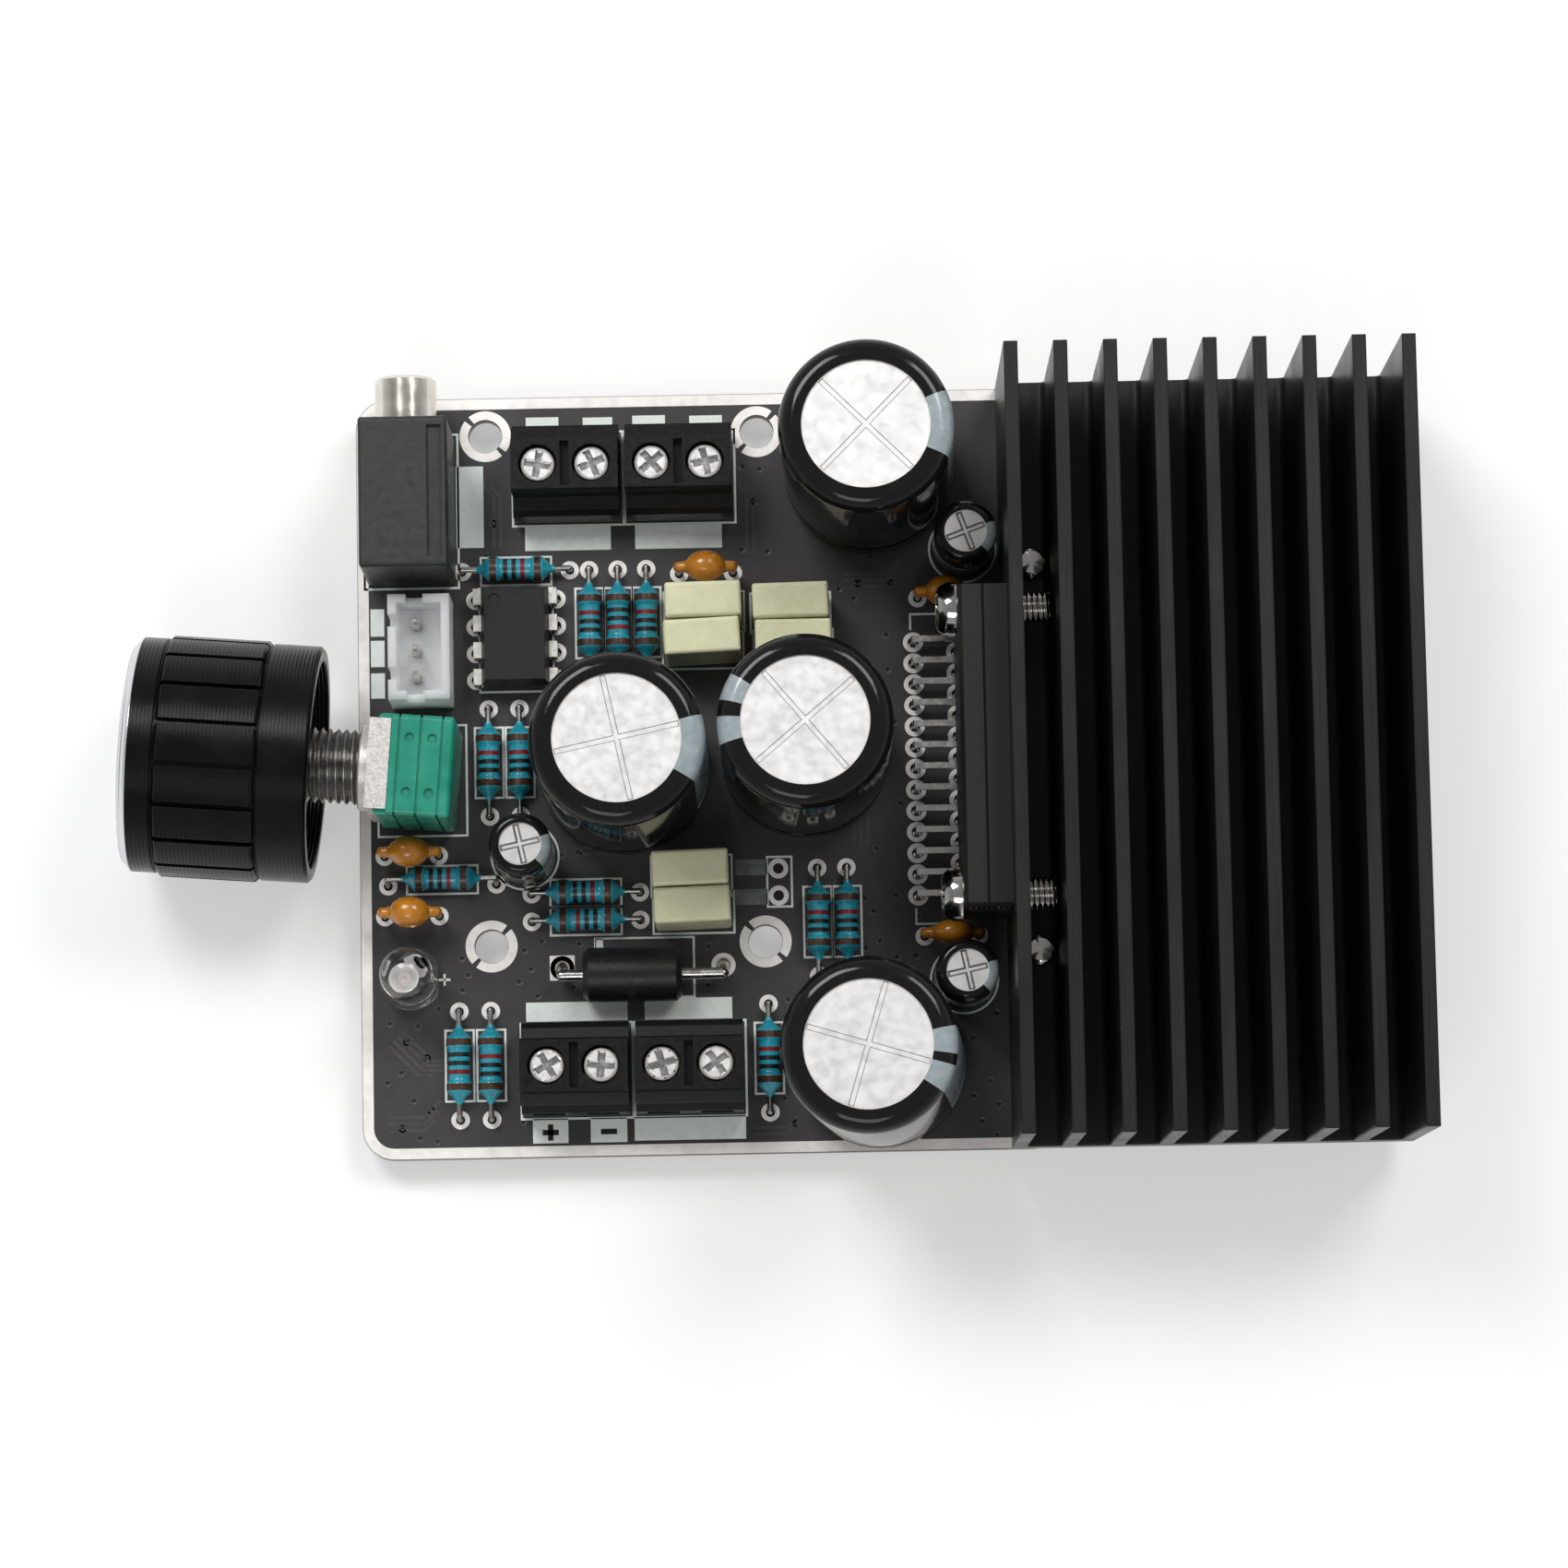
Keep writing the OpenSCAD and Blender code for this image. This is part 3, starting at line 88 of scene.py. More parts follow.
class Piece:
    """A mesh under construction and its materials; its slot is kept but not used."""

    def __init__(self, name, slot, *materials):
        self.name = name
        self.slot = slot
        self.materials = materials
        self.bm = bmesh.new()

    def face(self, corners, index=0):
        made = self.bm.faces.new(corners)
        made.material_index = index
        made.smooth = True

    def place(self, body, *replaced, sharp=CRISP_ANGLE):
        """Makes the object, with edges sharper than an angle left crisp."""
        bmesh.ops.remove_doubles(self.bm, verts=self.bm.verts, dist=MERGE_DISTANCE)
        bmesh.ops.recalc_face_normals(self.bm, faces=self.bm.faces)
        mesh = bpy.data.meshes.new(self.name)
        self.bm.to_mesh(mesh)
        self.bm.free()
        mesh.set_sharp_from_angle(angle=math.radians(sharp))
        for material in self.materials:
            mesh.materials.append(material)
        made = bpy.data.objects.new(self.name, mesh)
        bpy.context.scene.collection.objects.link(made)
        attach(made, body)
        if replaced:
            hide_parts(*replaced)


def at(x, y, z):
    """A place in millimetres, with Z up."""
    return Matrix.Translation(Vector((x, y, z)) * MM) @ SCALE


def along(start, direction):
    """A place in millimetres, with Z along a direction."""
    turn = Vector(direction).to_track_quat("Z", "Y").to_matrix().to_4x4()
    return Matrix.Translation(Vector(start) * MM) @ turn @ SCALE


def polar(radius, degrees):
    a = math.radians(degrees)
    return radius * math.cos(a), radius * math.sin(a)


def lathe(piece, profile, place, segments=48, paint=lambda step, turn: 0):
    """Turns (radius, height) points round a place's Z axis. paint picks each face's material
    from its step along the profile and its turn in degrees."""
    rings = []
    for radius, height in profile:
        count = 1 if radius == 0 else segments
        points = [polar(radius, 360 * i / segments) for i in range(count)]
        rings.append([piece.bm.verts.new(place @ Vector((x, y, height))) for x, y in points])
    for step, (low, high) in enumerate(zip(rings, rings[1:])):
        for i in range(segments):
            j = (i + 1) % segments
            corners = [low[i % len(low)], low[j % len(low)],
                       high[j % len(high)], high[i % len(high)]]
            unique = list(dict.fromkeys(corners))
            piece.face(unique, paint(step, 360 * (i + 0.5) / segments))


def arc(centre, radius, start, end, steps=8):
    """Points of an arc, from one angle in degrees to another."""
    turns = [start + (end - start) * i / steps for i in range(steps + 1)]
    return [(centre[0] + polar(radius, a)[0], centre[1] + polar(radius, a)[1]) for a in turns]


def band(piece, left, right, low, high, closed=False, index=0):
    """A slab between two edges with as many points each, from one height to another."""
    rows = [[piece.bm.verts.new((x * MM, y * MM, z * MM)) for x, y in side]
            for z in (low, high) for side in (left, right)]
    low_left, low_right, high_left, high_right = rows
    count = len(left)
    for i in range(count if closed else count - 1):
        j = (i + 1) % count
        piece.face([high_left[i], high_left[j], high_right[j], high_right[i]], index)
        piece.face([low_left[i], low_right[i], low_right[j], low_left[j]], index)
        piece.face([low_left[i], low_left[j], high_left[j], high_left[i]], index)
        piece.face([low_right[j], low_right[i], high_right[i], high_right[j]], index)
    if not closed:
        for end in (0, -1):
            piece.face([low_left[end], high_left[end], high_right[end], low_right[end]], index)


def stroke(piece, points, width, low, high, closed=False):
    """A line of even width along points, with mitred corners."""
    points = [Vector(p) for p in points]
    count = len(points)
    left, right = [], []
    for i, p in enumerate(points):
        before = points[i - 1] if closed or i > 0 else None
        after = points[(i + 1) % count] if closed or i < count - 1 else None
        way_in = (p - before).normalized() if before is not None else (after - p).normalized()
        way_out = (after - p).normalized() if after is not None else way_in
        normal_in = Vector((-way_in.y, way_in.x))
        mitre = (normal_in + Vector((-way_out.y, way_out.x))).normalized()
        offset = mitre * (width / 2 / max(mitre.dot(normal_in), MITRE_LIMIT))
        left.append(p + offset)
        right.append(p - offset)
    band(piece, left, right, low, high, closed)


def rectangle(x0, y0, x1, y1):
    return [(x0, y0), (x1, y0), (x1, y1), (x0, y1)]


def ring(piece, centre, inner, outer, low, high, start=0, end=360, steps=32):
    """A flat ring or part of one."""
    whole = end - start == 360
    outside = arc(centre, outer, start, end, steps)
    inside = arc(centre, inner, start, end, steps)
    last = steps if whole else steps + 1
    band(piece, outside[:last], inside[:last], low, high, whole)


def solids(node):
    """Corners, in millimetres, of the box of each separate solid in a node, by x and then y."""
    mesh = frame["nodes"][node].data
    spots = {}
    spot_of = [spots.setdefault(tuple(round(c, 6) for c in v.co), len(spots))
               for v in mesh.vertices]
    root = list(range(len(spots)))

    def find(i):
        while root[i] != i:
            root[i] = root[root[i]]
            i = root[i]
        return i

    for polygon in mesh.polygons:
        first, *others = (spot_of[i] for i in polygon.vertices)
        for other in others:
            root[find(other)] = find(first)
    groups = {}
    for spot, i in spots.items():
        groups.setdefault(find(i), []).append(spot)
    boxes = [[Vector(pick(c) for c in zip(*group)) / MM for pick in (min, max)]
             for group in groups.values()]
    return sorted(boxes, key=lambda b: (round(b[0].x + b[1].x, 1), round(b[0].y + b[1].y, 1)))


def middle(box):
    return (box[0] + box[1]) / 2


# Materials

BEVEL_SAMPLES = 4
NOISE_LOW = 0.3      # noise hardly goes beyond these bounds
NOISE_HIGH = 0.7
HATCH_PITCH = 0.55
HATCH_TURN = 32
WAVE_STEP = 0.05


class Paint:
    """A node material round one Principled shader, with textures in object space."""

    def __init__(self, name, **sockets):
        self.material = bpy.data.materials.new(name)
        self.material.use_nodes = True
        self.tree = self.material.node_tree
        self.tree.nodes.clear()
        output = self.tree.nodes.new("ShaderNodeOutputMaterial")
        self.shader = self.tree.nodes.new("ShaderNodeBsdfPrincipled")
        self.tree.links.new(self.shader.outputs[0], output.inputs["Surface"])
        self.set(**sockets)

    def set(self, **sockets):
        """Values or links for the shader's sockets, with _ for spaces in their names."""
        for name, value in sockets.items():
            self.feed(self.shader.inputs[name.replace("_", " ")], value)
        return self

    def feed(self, socket, value):
        if isinstance(value, bpy.types.NodeSocket):
            self.tree.links.new(value, socket)
        else:
            socket.default_value = value

    def node(self, kind, *inputs, **properties):
        """A new node with its first inputs, in order."""
        made = self.tree.nodes.new("ShaderNode" + kind)
        for name, value in properties.items():
            setattr(made, name, value)
        for socket, value in zip(made.inputs, inputs):
            self.feed(socket, value)
        return made

    def math(self, operation, *inputs):
        return self.node("Math", *inputs, operation=operation).outputs[0]

    def place(self, stretch=(1, 1, 1), turn=0):
        """Object coordinates in metres, scaled and turned round Z in degrees."""
        coordinates = self.node("TexCoord").outputs["Object"]
        mapped = self.node("Mapping", coordinates)
        mapped.inputs["Scale"].default_value = stretch
        mapped.inputs["Rotation"].default_value = (0, 0, math.radians(turn))
        return mapped.outputs[0]

    def noise(self, size, detail=3, stretch=(1, 1, 1)):
        """Noise from 0 to 1 whose features are about size millimetres across."""
        made = self.node("TexNoise", self.place(stretch))
        made.inputs["Scale"].default_value = 1 / (size * MM)
        made.inputs["Detail"].default_value = detail
        return made.outputs["Fac"]

    def ramp(self, value, low, high, start=0.0, end=1.0):
        """Maps a value between two bounds to a range, clamped."""
        return self.node("MapRange", value, low, high, start, end).outputs[0]

    def spread(self, noise, start=0.0, end=1.0):
        """Maps the usual reach of a noise to a range."""
        return self.ramp(noise, NOISE_LOW, NOISE_HIGH, start, end)

    def mix(self, share, a, b):
        made = self.node("Mix", data_type="RGBA")
        self.feed(made.inputs["Factor"], share)
        for key, value in (("A", a), ("B", b)):
            socket = [s for s in made.inputs if s.name == key and s.type == "RGBA"][0]
            colour = (*value, 1) if isinstance(value, tuple) else value
            self.feed(socket, colour)
        return [s for s in made.outputs if s.type == "RGBA"][0]

    def soften(self, radius):
        """Rounds the look of edges by a radius in millimetres."""
        made = self.node("Bevel", samples=BEVEL_SAMPLES)
        made.inputs["Radius"].default_value = radius * MM
        return self.set(Normal=made.outputs[0])

    def relief(self, height, depth, strength=1.0):
        """A bump of a depth in millimetres, on the shader's normal."""
        made = self.node("Bump")
        made.inputs["Strength"].default_value = strength
        made.inputs["Distance"].default_value = depth * MM
        self.feed(made.inputs["Height"], height)
        if self.shader.inputs["Normal"].is_linked:
            self.feed(made.inputs["Normal"], self.shader.inputs["Normal"].links[0].from_socket)
        self.set(Normal=made.outputs[0])
        return self


def grained(name, dark, light, rough, size, depth=0.0, edge=0.0, **sockets):
    """A finish whose colour, roughness and surface vary with one noise."""
    paint = Paint(name, **sockets)
    if edge:
        paint.soften(edge)
    grain = paint.noise(size)
    paint.set(Base_Color=paint.mix(paint.spread(grain), dark, light),
              Roughness=paint.spread(grain, *rough))
    if depth:
        paint.relief(grain, depth)
    return paint


def board_mask():
    """Dark solder mask over hatched copper, with the bare laminate at the edges."""
    paint = Paint("board_mask", Specular_IOR_Level=0.42)
    cloud = paint.noise(7, 4)
    fine = paint.noise(0.25, 2)
    mask = paint.mix(paint.ramp(cloud, 0.35, 0.7), (0.032, 0.0295, 0.0305), (0.047, 0.0435, 0.045))
    hatch = paint.node("TexWave", paint.place(turn=HATCH_TURN), wave_type="BANDS",
                       bands_direction="Y")
    hatch.inputs["Scale"].default_value = WAVE_STEP / (HATCH_PITCH * MM)
    hatch.inputs["Distortion"].default_value = 0.6
    patches = paint.ramp(paint.noise(11, 1), 0.46, 0.6)
    lines = paint.math("MULTIPLY", hatch.outputs["Fac"], patches)
    height = paint.math("ADD", lines, paint.math("MULTIPLY", fine, 0.35))
    facing = paint.node("SeparateXYZ", paint.node("TexCoord").outputs["Normal"]).outputs["Z"]
    edge = paint.ramp(paint.math("ABSOLUTE", facing), 0.7, 0.3)
    laminate = paint.mix(paint.noise(0.3, 3, (1, 1, 6)), (0.16, 0.13, 0.08), (0.3, 0.26, 0.18))
    paint.set(Base_Color=paint.mix(edge, mask, laminate), Roughness=paint.spread(fine, 0.36, 0.52))
    return paint.relief(height, 0.02, 0.6).material


def tinned(name, dark, light, rough, size=0.5, depth=0.02, metallic=1.0):
    """A metal finish."""
    return grained(name, dark, light, rough, size, depth, Metallic=metallic).material


def anodised_fins():
    """Black anodising over drawn aluminium, with fine lines along the extrusion."""
    paint = Paint("black_anodised", Specular_IOR_Level=0.3).soften(0.4)
    lines = paint.noise(0.12, 2, (1, 0.012, 1))
    cloud = paint.noise(9, 3)
    speck = paint.ramp(paint.noise(0.35, 1), 0.8, 0.86)
    black = paint.mix(paint.spread(lines), (0.009, 0.009, 0.0095), (0.016, 0.016, 0.0165))
    paint.set(Base_Color=paint.mix(speck, black, (0.07, 0.07, 0.07)),
              Roughness=paint.spread(cloud, 0.3, 0.42))
    return paint.relief(lines, 0.012).material


def axis_coordinates(paint, start, direction):
    """Distance along an axis, and from it, in metres."""
    spot = paint.node("TexCoord").outputs["Object"]
    offset = paint.node("VectorMath", spot, tuple(start), operation="SUBTRACT").outputs["Vector"]
    dot = paint.node("VectorMath", offset, tuple(direction), operation="DOT_PRODUCT")
    reach = dot.outputs["Value"]
    length = paint.node("VectorMath", offset, operation="LENGTH").outputs["Value"]
    squares = paint.math("SUBTRACT", paint.math("POWER", length, 2.0),
                         paint.math("POWER", reach, 2.0))
    return reach, paint.math("SQRT", paint.math("MAXIMUM", squares, 0.0))


SIDE_LINE = 0.36     # pitch of the lathe's lines on the knob's side
FACE_LINE = 0.3      # and on its face
FACE_BLEND = 0.02


def turned_knob(start, direction, face_at):
    """Black anodised turned aluminium, with lathe lines and a bright cut face."""
    paint = Paint("knob_black", Specular_IOR_Level=0.14).soften(0.1)
    reach, radius = axis_coordinates(paint, start, direction)
    side_line = paint.math("SINE", paint.math("MULTIPLY", reach, 2 * math.pi / (SIDE_LINE * MM)))
    face_line = paint.math("SINE", paint.math("MULTIPLY", radius, 2 * math.pi / (FACE_LINE * MM)))
    bright = paint.ramp(reach, face_at - FACE_BLEND * MM, face_at + FACE_BLEND * MM)
    cloud = paint.noise(3, 3)
    black = paint.mix(paint.spread(cloud), (0.003, 0.003, 0.0034), (0.005, 0.005, 0.0055))
    paint.set(Base_Color=paint.mix(bright, black, (0.66, 0.66, 0.68)), Metallic=bright,
              Roughness=paint.spread(cloud, 0.2, 0.3))
    paint.relief(side_line, 0.03, 0.6)
    return paint.relief(paint.math("MULTIPLY", face_line, bright), 0.01, 0.6).material


def sleeve():
    """Glossy shrink sleeve with a faint ripple."""
    paint = Paint("sleeve_black", Specular_IOR_Level=0.24)
    ripple = paint.noise(2.2, 2)
    fine = paint.noise(0.5, 2)
    paint.set(Base_Color=paint.mix(fine, (0.006, 0.006, 0.0065), (0.010, 0.010, 0.011)),
              Roughness=paint.spread(fine, 0.07, 0.14))
    return paint.relief(ripple, 0.05, 0.5).material


def clear_lens():
    """Clear resin with a faint swirl."""
    paint = Paint("clear_lens", Transmission_Weight=1.0, IOR=1.5, Base_Color=(0.97, 0.98, 0.98, 1))
    swirl = paint.noise(1.5, 2)
    paint.set(Roughness=paint.spread(swirl, 0.01, 0.05))
    return paint.relief(swirl, 0.02, 0.3).material


def nylon():
    """White nylon that lets some light through."""
    paint = Paint("white_nylon", Subsurface_Weight=1.0, Subsurface_Scale=4 * MM,
                  Subsurface_Radius=(1.0, 1.0, 1.0))
    cloud = paint.noise(1.4, 3)
    paint.set(Base_Color=paint.mix(cloud, (0.93, 0.94, 0.98), (0.97, 0.98, 1.0)),
              Roughness=paint.spread(cloud, 0.3, 0.45))
    return paint.relief(paint.noise(0.3, 2), 0.01, 0.5).material


MASK = board_mask()
TIN = tinned("solder_tin", (0.88, 0.845, 0.805), (0.96, 0.925, 0.885), (0.34, 0.5), 0.9, 0.006, 0.3)
# Dark metal for the walls of the holes and the solder sunk in them: painted shade inside the holes
HOLE_SHADE = tinned("plated_hole", (0.12, 0.12, 0.12), (0.24, 0.235, 0.225), (0.3, 0.5), 0.3, 0.02)
LEAD = tinned("tinned_lead", (0.27, 0.265, 0.25), (0.42, 0.41, 0.39), (0.24, 0.38), 0.6, 0.006)
SHOULDER = tinned("satin_lead", (0.62, 0.60, 0.56), (0.76, 0.74, 0.70),
                  (0.32, 0.46), 0.5, 0.006, 0.8)
STEEL = tinned("screw_steel", (0.42, 0.415, 0.4), (0.6, 0.595, 0.58), (0.18, 0.32), 0.6, 0.008)
SCREW_FACE = tinned("screw_face", (0.86, 0.85, 0.83), (0.95, 0.94, 0.92),
                    (0.26, 0.4), 0.5, 0.01, 0.5)
CHROME = tinned("bright_steel", (0.46, 0.445, 0.42), (0.58, 0.565, 0.54), (0.08, 0.15), 0.8, 0.004)
NICKEL = tinned("nickel", (0.66, 0.625, 0.55), (0.79, 0.755, 0.69), (0.14, 0.26), 1.2, 0.006)
ZINC = tinned("zinc_plate", (0.56, 0.545, 0.515), (0.76, 0.74, 0.71), (0.32, 0.5), 0.22, 0.02, 0.5)
BUSHING = tinned("dull_zinc", (0.22, 0.215, 0.2), (0.33, 0.32, 0.305), (0.25, 0.36), 0.6, 0.01)
BRASS = tinned("contact_brass", (0.5, 0.38, 0.16), (0.66, 0.52, 0.26), (0.25, 0.4))
VENT = tinned("vent_aluminium", (0.80, 0.785, 0.775), (0.87, 0.855, 0.84),
              (0.34, 0.46), 0.9, 0.008, 0.6)
# Darker aluminium for the walls of the vent's scored cross: painted shade in the grooves
VENT_SCORE_SHADE = tinned("vent_score_shade", (0.2, 0.195, 0.19), (0.32, 0.315, 0.31),
                    (0.35, 0.5), 0.3, 0.01, 0.5)
SILK = grained("silkscreen", (0.80, 0.86, 0.825), (0.88, 0.94, 0.90),
               (0.5, 0.65), 0.6, 0.01).material
INKED = grained("mask_dark", (0.008, 0.008, 0.0085), (0.014, 0.014, 0.0145), (0.45, 0.6), 0.5,
                Specular_IOR_Level=0.3).material
TRACK = grained("mask_over_copper", (0.044, 0.041, 0.042), (0.058, 0.054, 0.056),
                (0.34, 0.46), 0.5).material
SILK_FAINT = grained("silkscreen_faint", (0.12, 0.125, 0.125), (0.22, 0.225, 0.225),
                     (0.5, 0.65), 0.7).material
FINS = anodised_fins()
EPOXY = grained("chip_epoxy", (0.010, 0.010, 0.010), (0.017, 0.017, 0.017),
                (0.42, 0.55), 0.2, 0.012, 0.12, Specular_IOR_Level=0.26).material
DIODE = grained("diode_epoxy", (0.008, 0.008, 0.008), (0.014, 0.014, 0.014), (0.3, 0.42), 0.4, 0.01,
                Specular_IOR_Level=0.28).material
JACK = grained("black_plastic", (0.011, 0.011, 0.0115), (0.02, 0.02, 0.021),
               (0.36, 0.5), 0.9, 0.015, 0.15).material
TERMINAL = grained("terminal_plastic", (0.005, 0.005, 0.0055), (0.009, 0.009, 0.0095),
                   (0.32, 0.44), 0.6, 0.01, 0.12, Specular_IOR_Level=0.2).material
GREEN = grained("green_resin", (0.010, 0.235, 0.155), (0.016, 0.31, 0.205), (0.24, 0.36), 2.5, 0.02,
                Subsurface_Weight=0.05, Subsurface_Scale=0.5 * MM).material
NYLON = nylon()
INSERT = grained("insert_plastic", (0.012, 0.012, 0.012), (0.02, 0.02, 0.02),
                 (0.4, 0.55), 0.6, 0.02).material
LENS = clear_lens()
CERAMIC = grained("ceramic_coat", (0.42, 0.15, 0.007), (0.55, 0.215, 0.015),
                  (0.16, 0.26), 1.2, 0.03, Coat_Weight=0.3, Coat_Roughness=0.08).material
FILM = grained("film_case", (0.72, 0.71, 0.46), (0.79, 0.78, 0.52),
               (0.32, 0.45), 0.9, 0.012).material
BLUE = grained("resistor_coat", (0.016, 0.25, 0.335), (0.025, 0.335, 0.435), (0.2, 0.32), 0.6, 0.02,
               Coat_Weight=0.25, Coat_Roughness=0.12).material
BAND_BROWN = grained("band_brown", (0.045, 0.02, 0.012), (0.07, 0.032, 0.02),
                     (0.25, 0.4), 0.4).material
BAND_BLACK = grained("band_black", (0.008, 0.008, 0.009), (0.014, 0.014, 0.015),
                     (0.25, 0.4), 0.4).material
BAND_RED = grained("band_red", (0.16, 0.008, 0.012), (0.22, 0.014, 0.02), (0.25, 0.4), 0.4).material
SLEEVE = sleeve()
STRIPE = grained("sleeve_stripe", (0.26, 0.31, 0.335), (0.34, 0.395, 0.42), (0.16, 0.28), 0.8, 0.01,
                 Coat_Weight=0.3, Coat_Roughness=0.08).material
DIE = grained("lamp_die", (0.5, 0.27, 0.23), (0.62, 0.38, 0.33), (0.3, 0.5), 0.1).material

# Turning axis of the volume control, out of the board's left edge
volume_turn = next(j for j in frame["joints"] if j["name"] == "volume_turn")
SHAFT_AT = Vector(volume_turn["pos_m"])
SHAFT_WAY = Vector(volume_turn["axis"]).normalized()


def reach_of(node):
    """Distances along the shaft's axis of a node's two ends, in millimetres."""
    vertices = frame["nodes"][node].data.vertices
    reaches = [(v.co - SHAFT_AT).dot(SHAFT_WAY) / MM for v in vertices]
    return min(reaches), max(reaches)


KNOB_BEVEL = 0.8
FACE_MARGIN = 0.05
KNOB = turned_knob(SHAFT_AT, SHAFT_WAY, (reach_of("knob")[1] - KNOB_BEVEL - FACE_MARGIN) * MM)

finishes = {
    "circuit_board": MASK, "solder_joints": TIN, "heatsink": FINS, "heatsink_screws": STEEL,
    "amplifier_chip": EPOXY, "amplifier_chip_leads": STEEL, "chip_screws": STEEL,
    "audio_jack_body": JACK, "audio_jack_barrel": NICKEL, "audio_jack_contacts": BRASS,
    "input_header": NYLON, "input_header_pins": NICKEL, "volume_pot_body": GREEN,
    "volume_pot_plate": ZINC, "volume_pot_bushing": BUSHING, "volume_pot_terminals": LEAD,
    "volume_pot_shaft": NICKEL, "knob": KNOB, "knob_insert": INSERT, "led_lens": LENS,
    "led_leads": LEAD, "op_amp": EPOXY, "op_amp_leads": SHOULDER, "ceramic_capacitors": CERAMIC,
    "ceramic_capacitor_leads": LEAD, "film_capacitors": FILM, "film_capacitor_leads": LEAD,
    "resistor_bodies": BLUE, "resistor_leads": LEAD, "diode": DIODE, "diode_leads": STEEL,
    "small_capacitors": SLEEVE, "electrolytic_leads": LEAD, "terminal_contacts": BRASS,
}
for i in range(1, 5):
    finishes[f"filter_capacitor_{i}"] = SLEEVE
    finishes[f"terminal_block_{i}"] = TERMINAL
for i in range(1, 9):
    finishes[f"terminal_screw_{i}"] = STEEL
    finishes[f"terminal_clamp_{i}"] = BRASS
for name, node in frame["nodes"].items():
    node.data.materials.clear()
    node.data.materials.append(finishes[name])


# Printed top of the board

INK = 0.03           # height of copper and ink over the board
SUNK = 0.01          # depth that they reach into it
LINE = 0.2           # width of a printed line
PAD_RING = 0.44
DRILL = 0.15         # room round a lead in its hole
SOLDER_RING = 0.3    # a joint's reach beyond its hole
OPEN_HOLE = 0.6      # depth of the solder in a hole
FULL_HOLE = 0.1      # and in the diode's larger ones
DIODE_HOLE = 0.66    # smaller holes aren't the diode's
low, high = BOARD_TOP - SUNK, BOARD_TOP + INK

joints = [(middle(b).x, middle(b).y, (b[1].x - b[0].x) / 2 - SOLDER_RING)
          for b in solids("solder_joints")]
pads = Piece("board_pads", "solder_tin", TIN)
barrels = Piece("plated_holes", "solder_tin", HOLE_SHADE, TIN)
for x, y, hole in joints:
    lead = hole - DRILL
    ring(pads, (x, y), hole, hole + PAD_RING, low, high)
    deep = FULL_HOLE if hole > DIODE_HOLE else OPEN_HOLE
    # Each hole's wall and sunk solder take the dark hole metal, painted shade; only the diode's holes are filled
    # with bright solder
    lathe(barrels, [(hole + SUNK, -0.04), (hole - SUNK, -0.06), (hole - SUNK, -deep),
                    (lead + 0.05, -deep - 0.15), (lead, -deep), (lead, -1)],
          at(x, y, BOARD_TOP), 24, lambda step, turn: int(step > 1 and hole > DIODE_HOLE))

# A frame of bare tinned copper round the edge
BORDER = 1.05
CORNER = 3
EDGE_GAP = 0.05


def board_outline(inset):
    x0, y0 = BOARD_LOW.x + inset, BOARD_LOW.y + inset
    x1, y1 = BOARD_HIGH.x - inset, BOARD_HIGH.y - inset
    r = CORNER - inset
    corners = [((x1 - r, y1 - r), 0), ((x0 + r, y1 - r), 90),
               ((x0 + r, y0 + r), 180), ((x1 - r, y0 + r), 270)]
    return [p for centre, start in corners for p in arc(centre, r, start, start + 90)]


band(pads, board_outline(EDGE_GAP), board_outline(BORDER), low, high, True)

# Split rings round the mounting holes
holes = next(m for m in frame["record"]["mounts"] if m["name"] == "board_mounting_holes")["dims"]
hole_spots = [(sx * holes["spacing_x_mm"] / 2, sy * holes["spacing_y_mm"] / 2)
              for sx in (-1, 1) for sy in (-1, 1)]
RING_WIDTH = 0.82
RING_GAP = 0.02
RING_SPLIT = 12      # degrees of each split
RISING_SPLIT = 47    # its turn in the lower left and upper right corners
FALLING_SPLIT = 136  # and in the other two
for spot in hole_spots:
    split = RISING_SPLIT if spot[0] * spot[1] > 0 else FALLING_SPLIT
    inner = holes["hole_r_mm"] + RING_GAP
    for half in (0, 180):
        ring(pads, spot, inner, inner + RING_WIDTH, low, high, split + half + RING_SPLIT / 2,
             split + half + 180 - RING_SPLIT / 2)

# Open pads of the spare place for a two-pin plug
SPARE_PADS = ((14.15, -17.4), (14.15, -19.95))
SPARE_HOLE = 0.5
SPARE_PAD = 0.95
for spot in SPARE_PADS:
    ring(pads, spot, SPARE_HOLE, SPARE_PAD, low, high)

# The diode's left pad is square
PAD_HALF = 1.17
PAD_STEPS = 32
x, y, hole = min(j for j in joints if j[2] > DIODE_HOLE)
ways = [polar(1, 360 * i / PAD_STEPS) for i in range(PAD_STEPS)]
edge = [(x + c * PAD_HALF / max(abs(c), abs(d)), y + d * PAD_HALF / max(abs(c), abs(d)))
        for c, d in ways]
band(pads, edge, [(x + c * hole, y + d * hole) for c, d in ways], low, high, True)
pads.place("board")
barrels.place("board")

silk = Piece("board_silkscreen", "board_laminate", SILK)


def outline(box, grow):
    """A printed line round a box, that much larger on every side."""
    corners = rectangle(box[0].x - grow, box[0].y - grow, box[1].x + grow, box[1].y + grow)
    stroke(silk, corners, LINE, low, high, True)


def patch(piece, x0, y0, x1, y1, index=0):
    """A printed field."""
    band(piece, [(x0, y0), (x1, y0)], [(x0, y1), (x1, y1)], low, high, index=index)


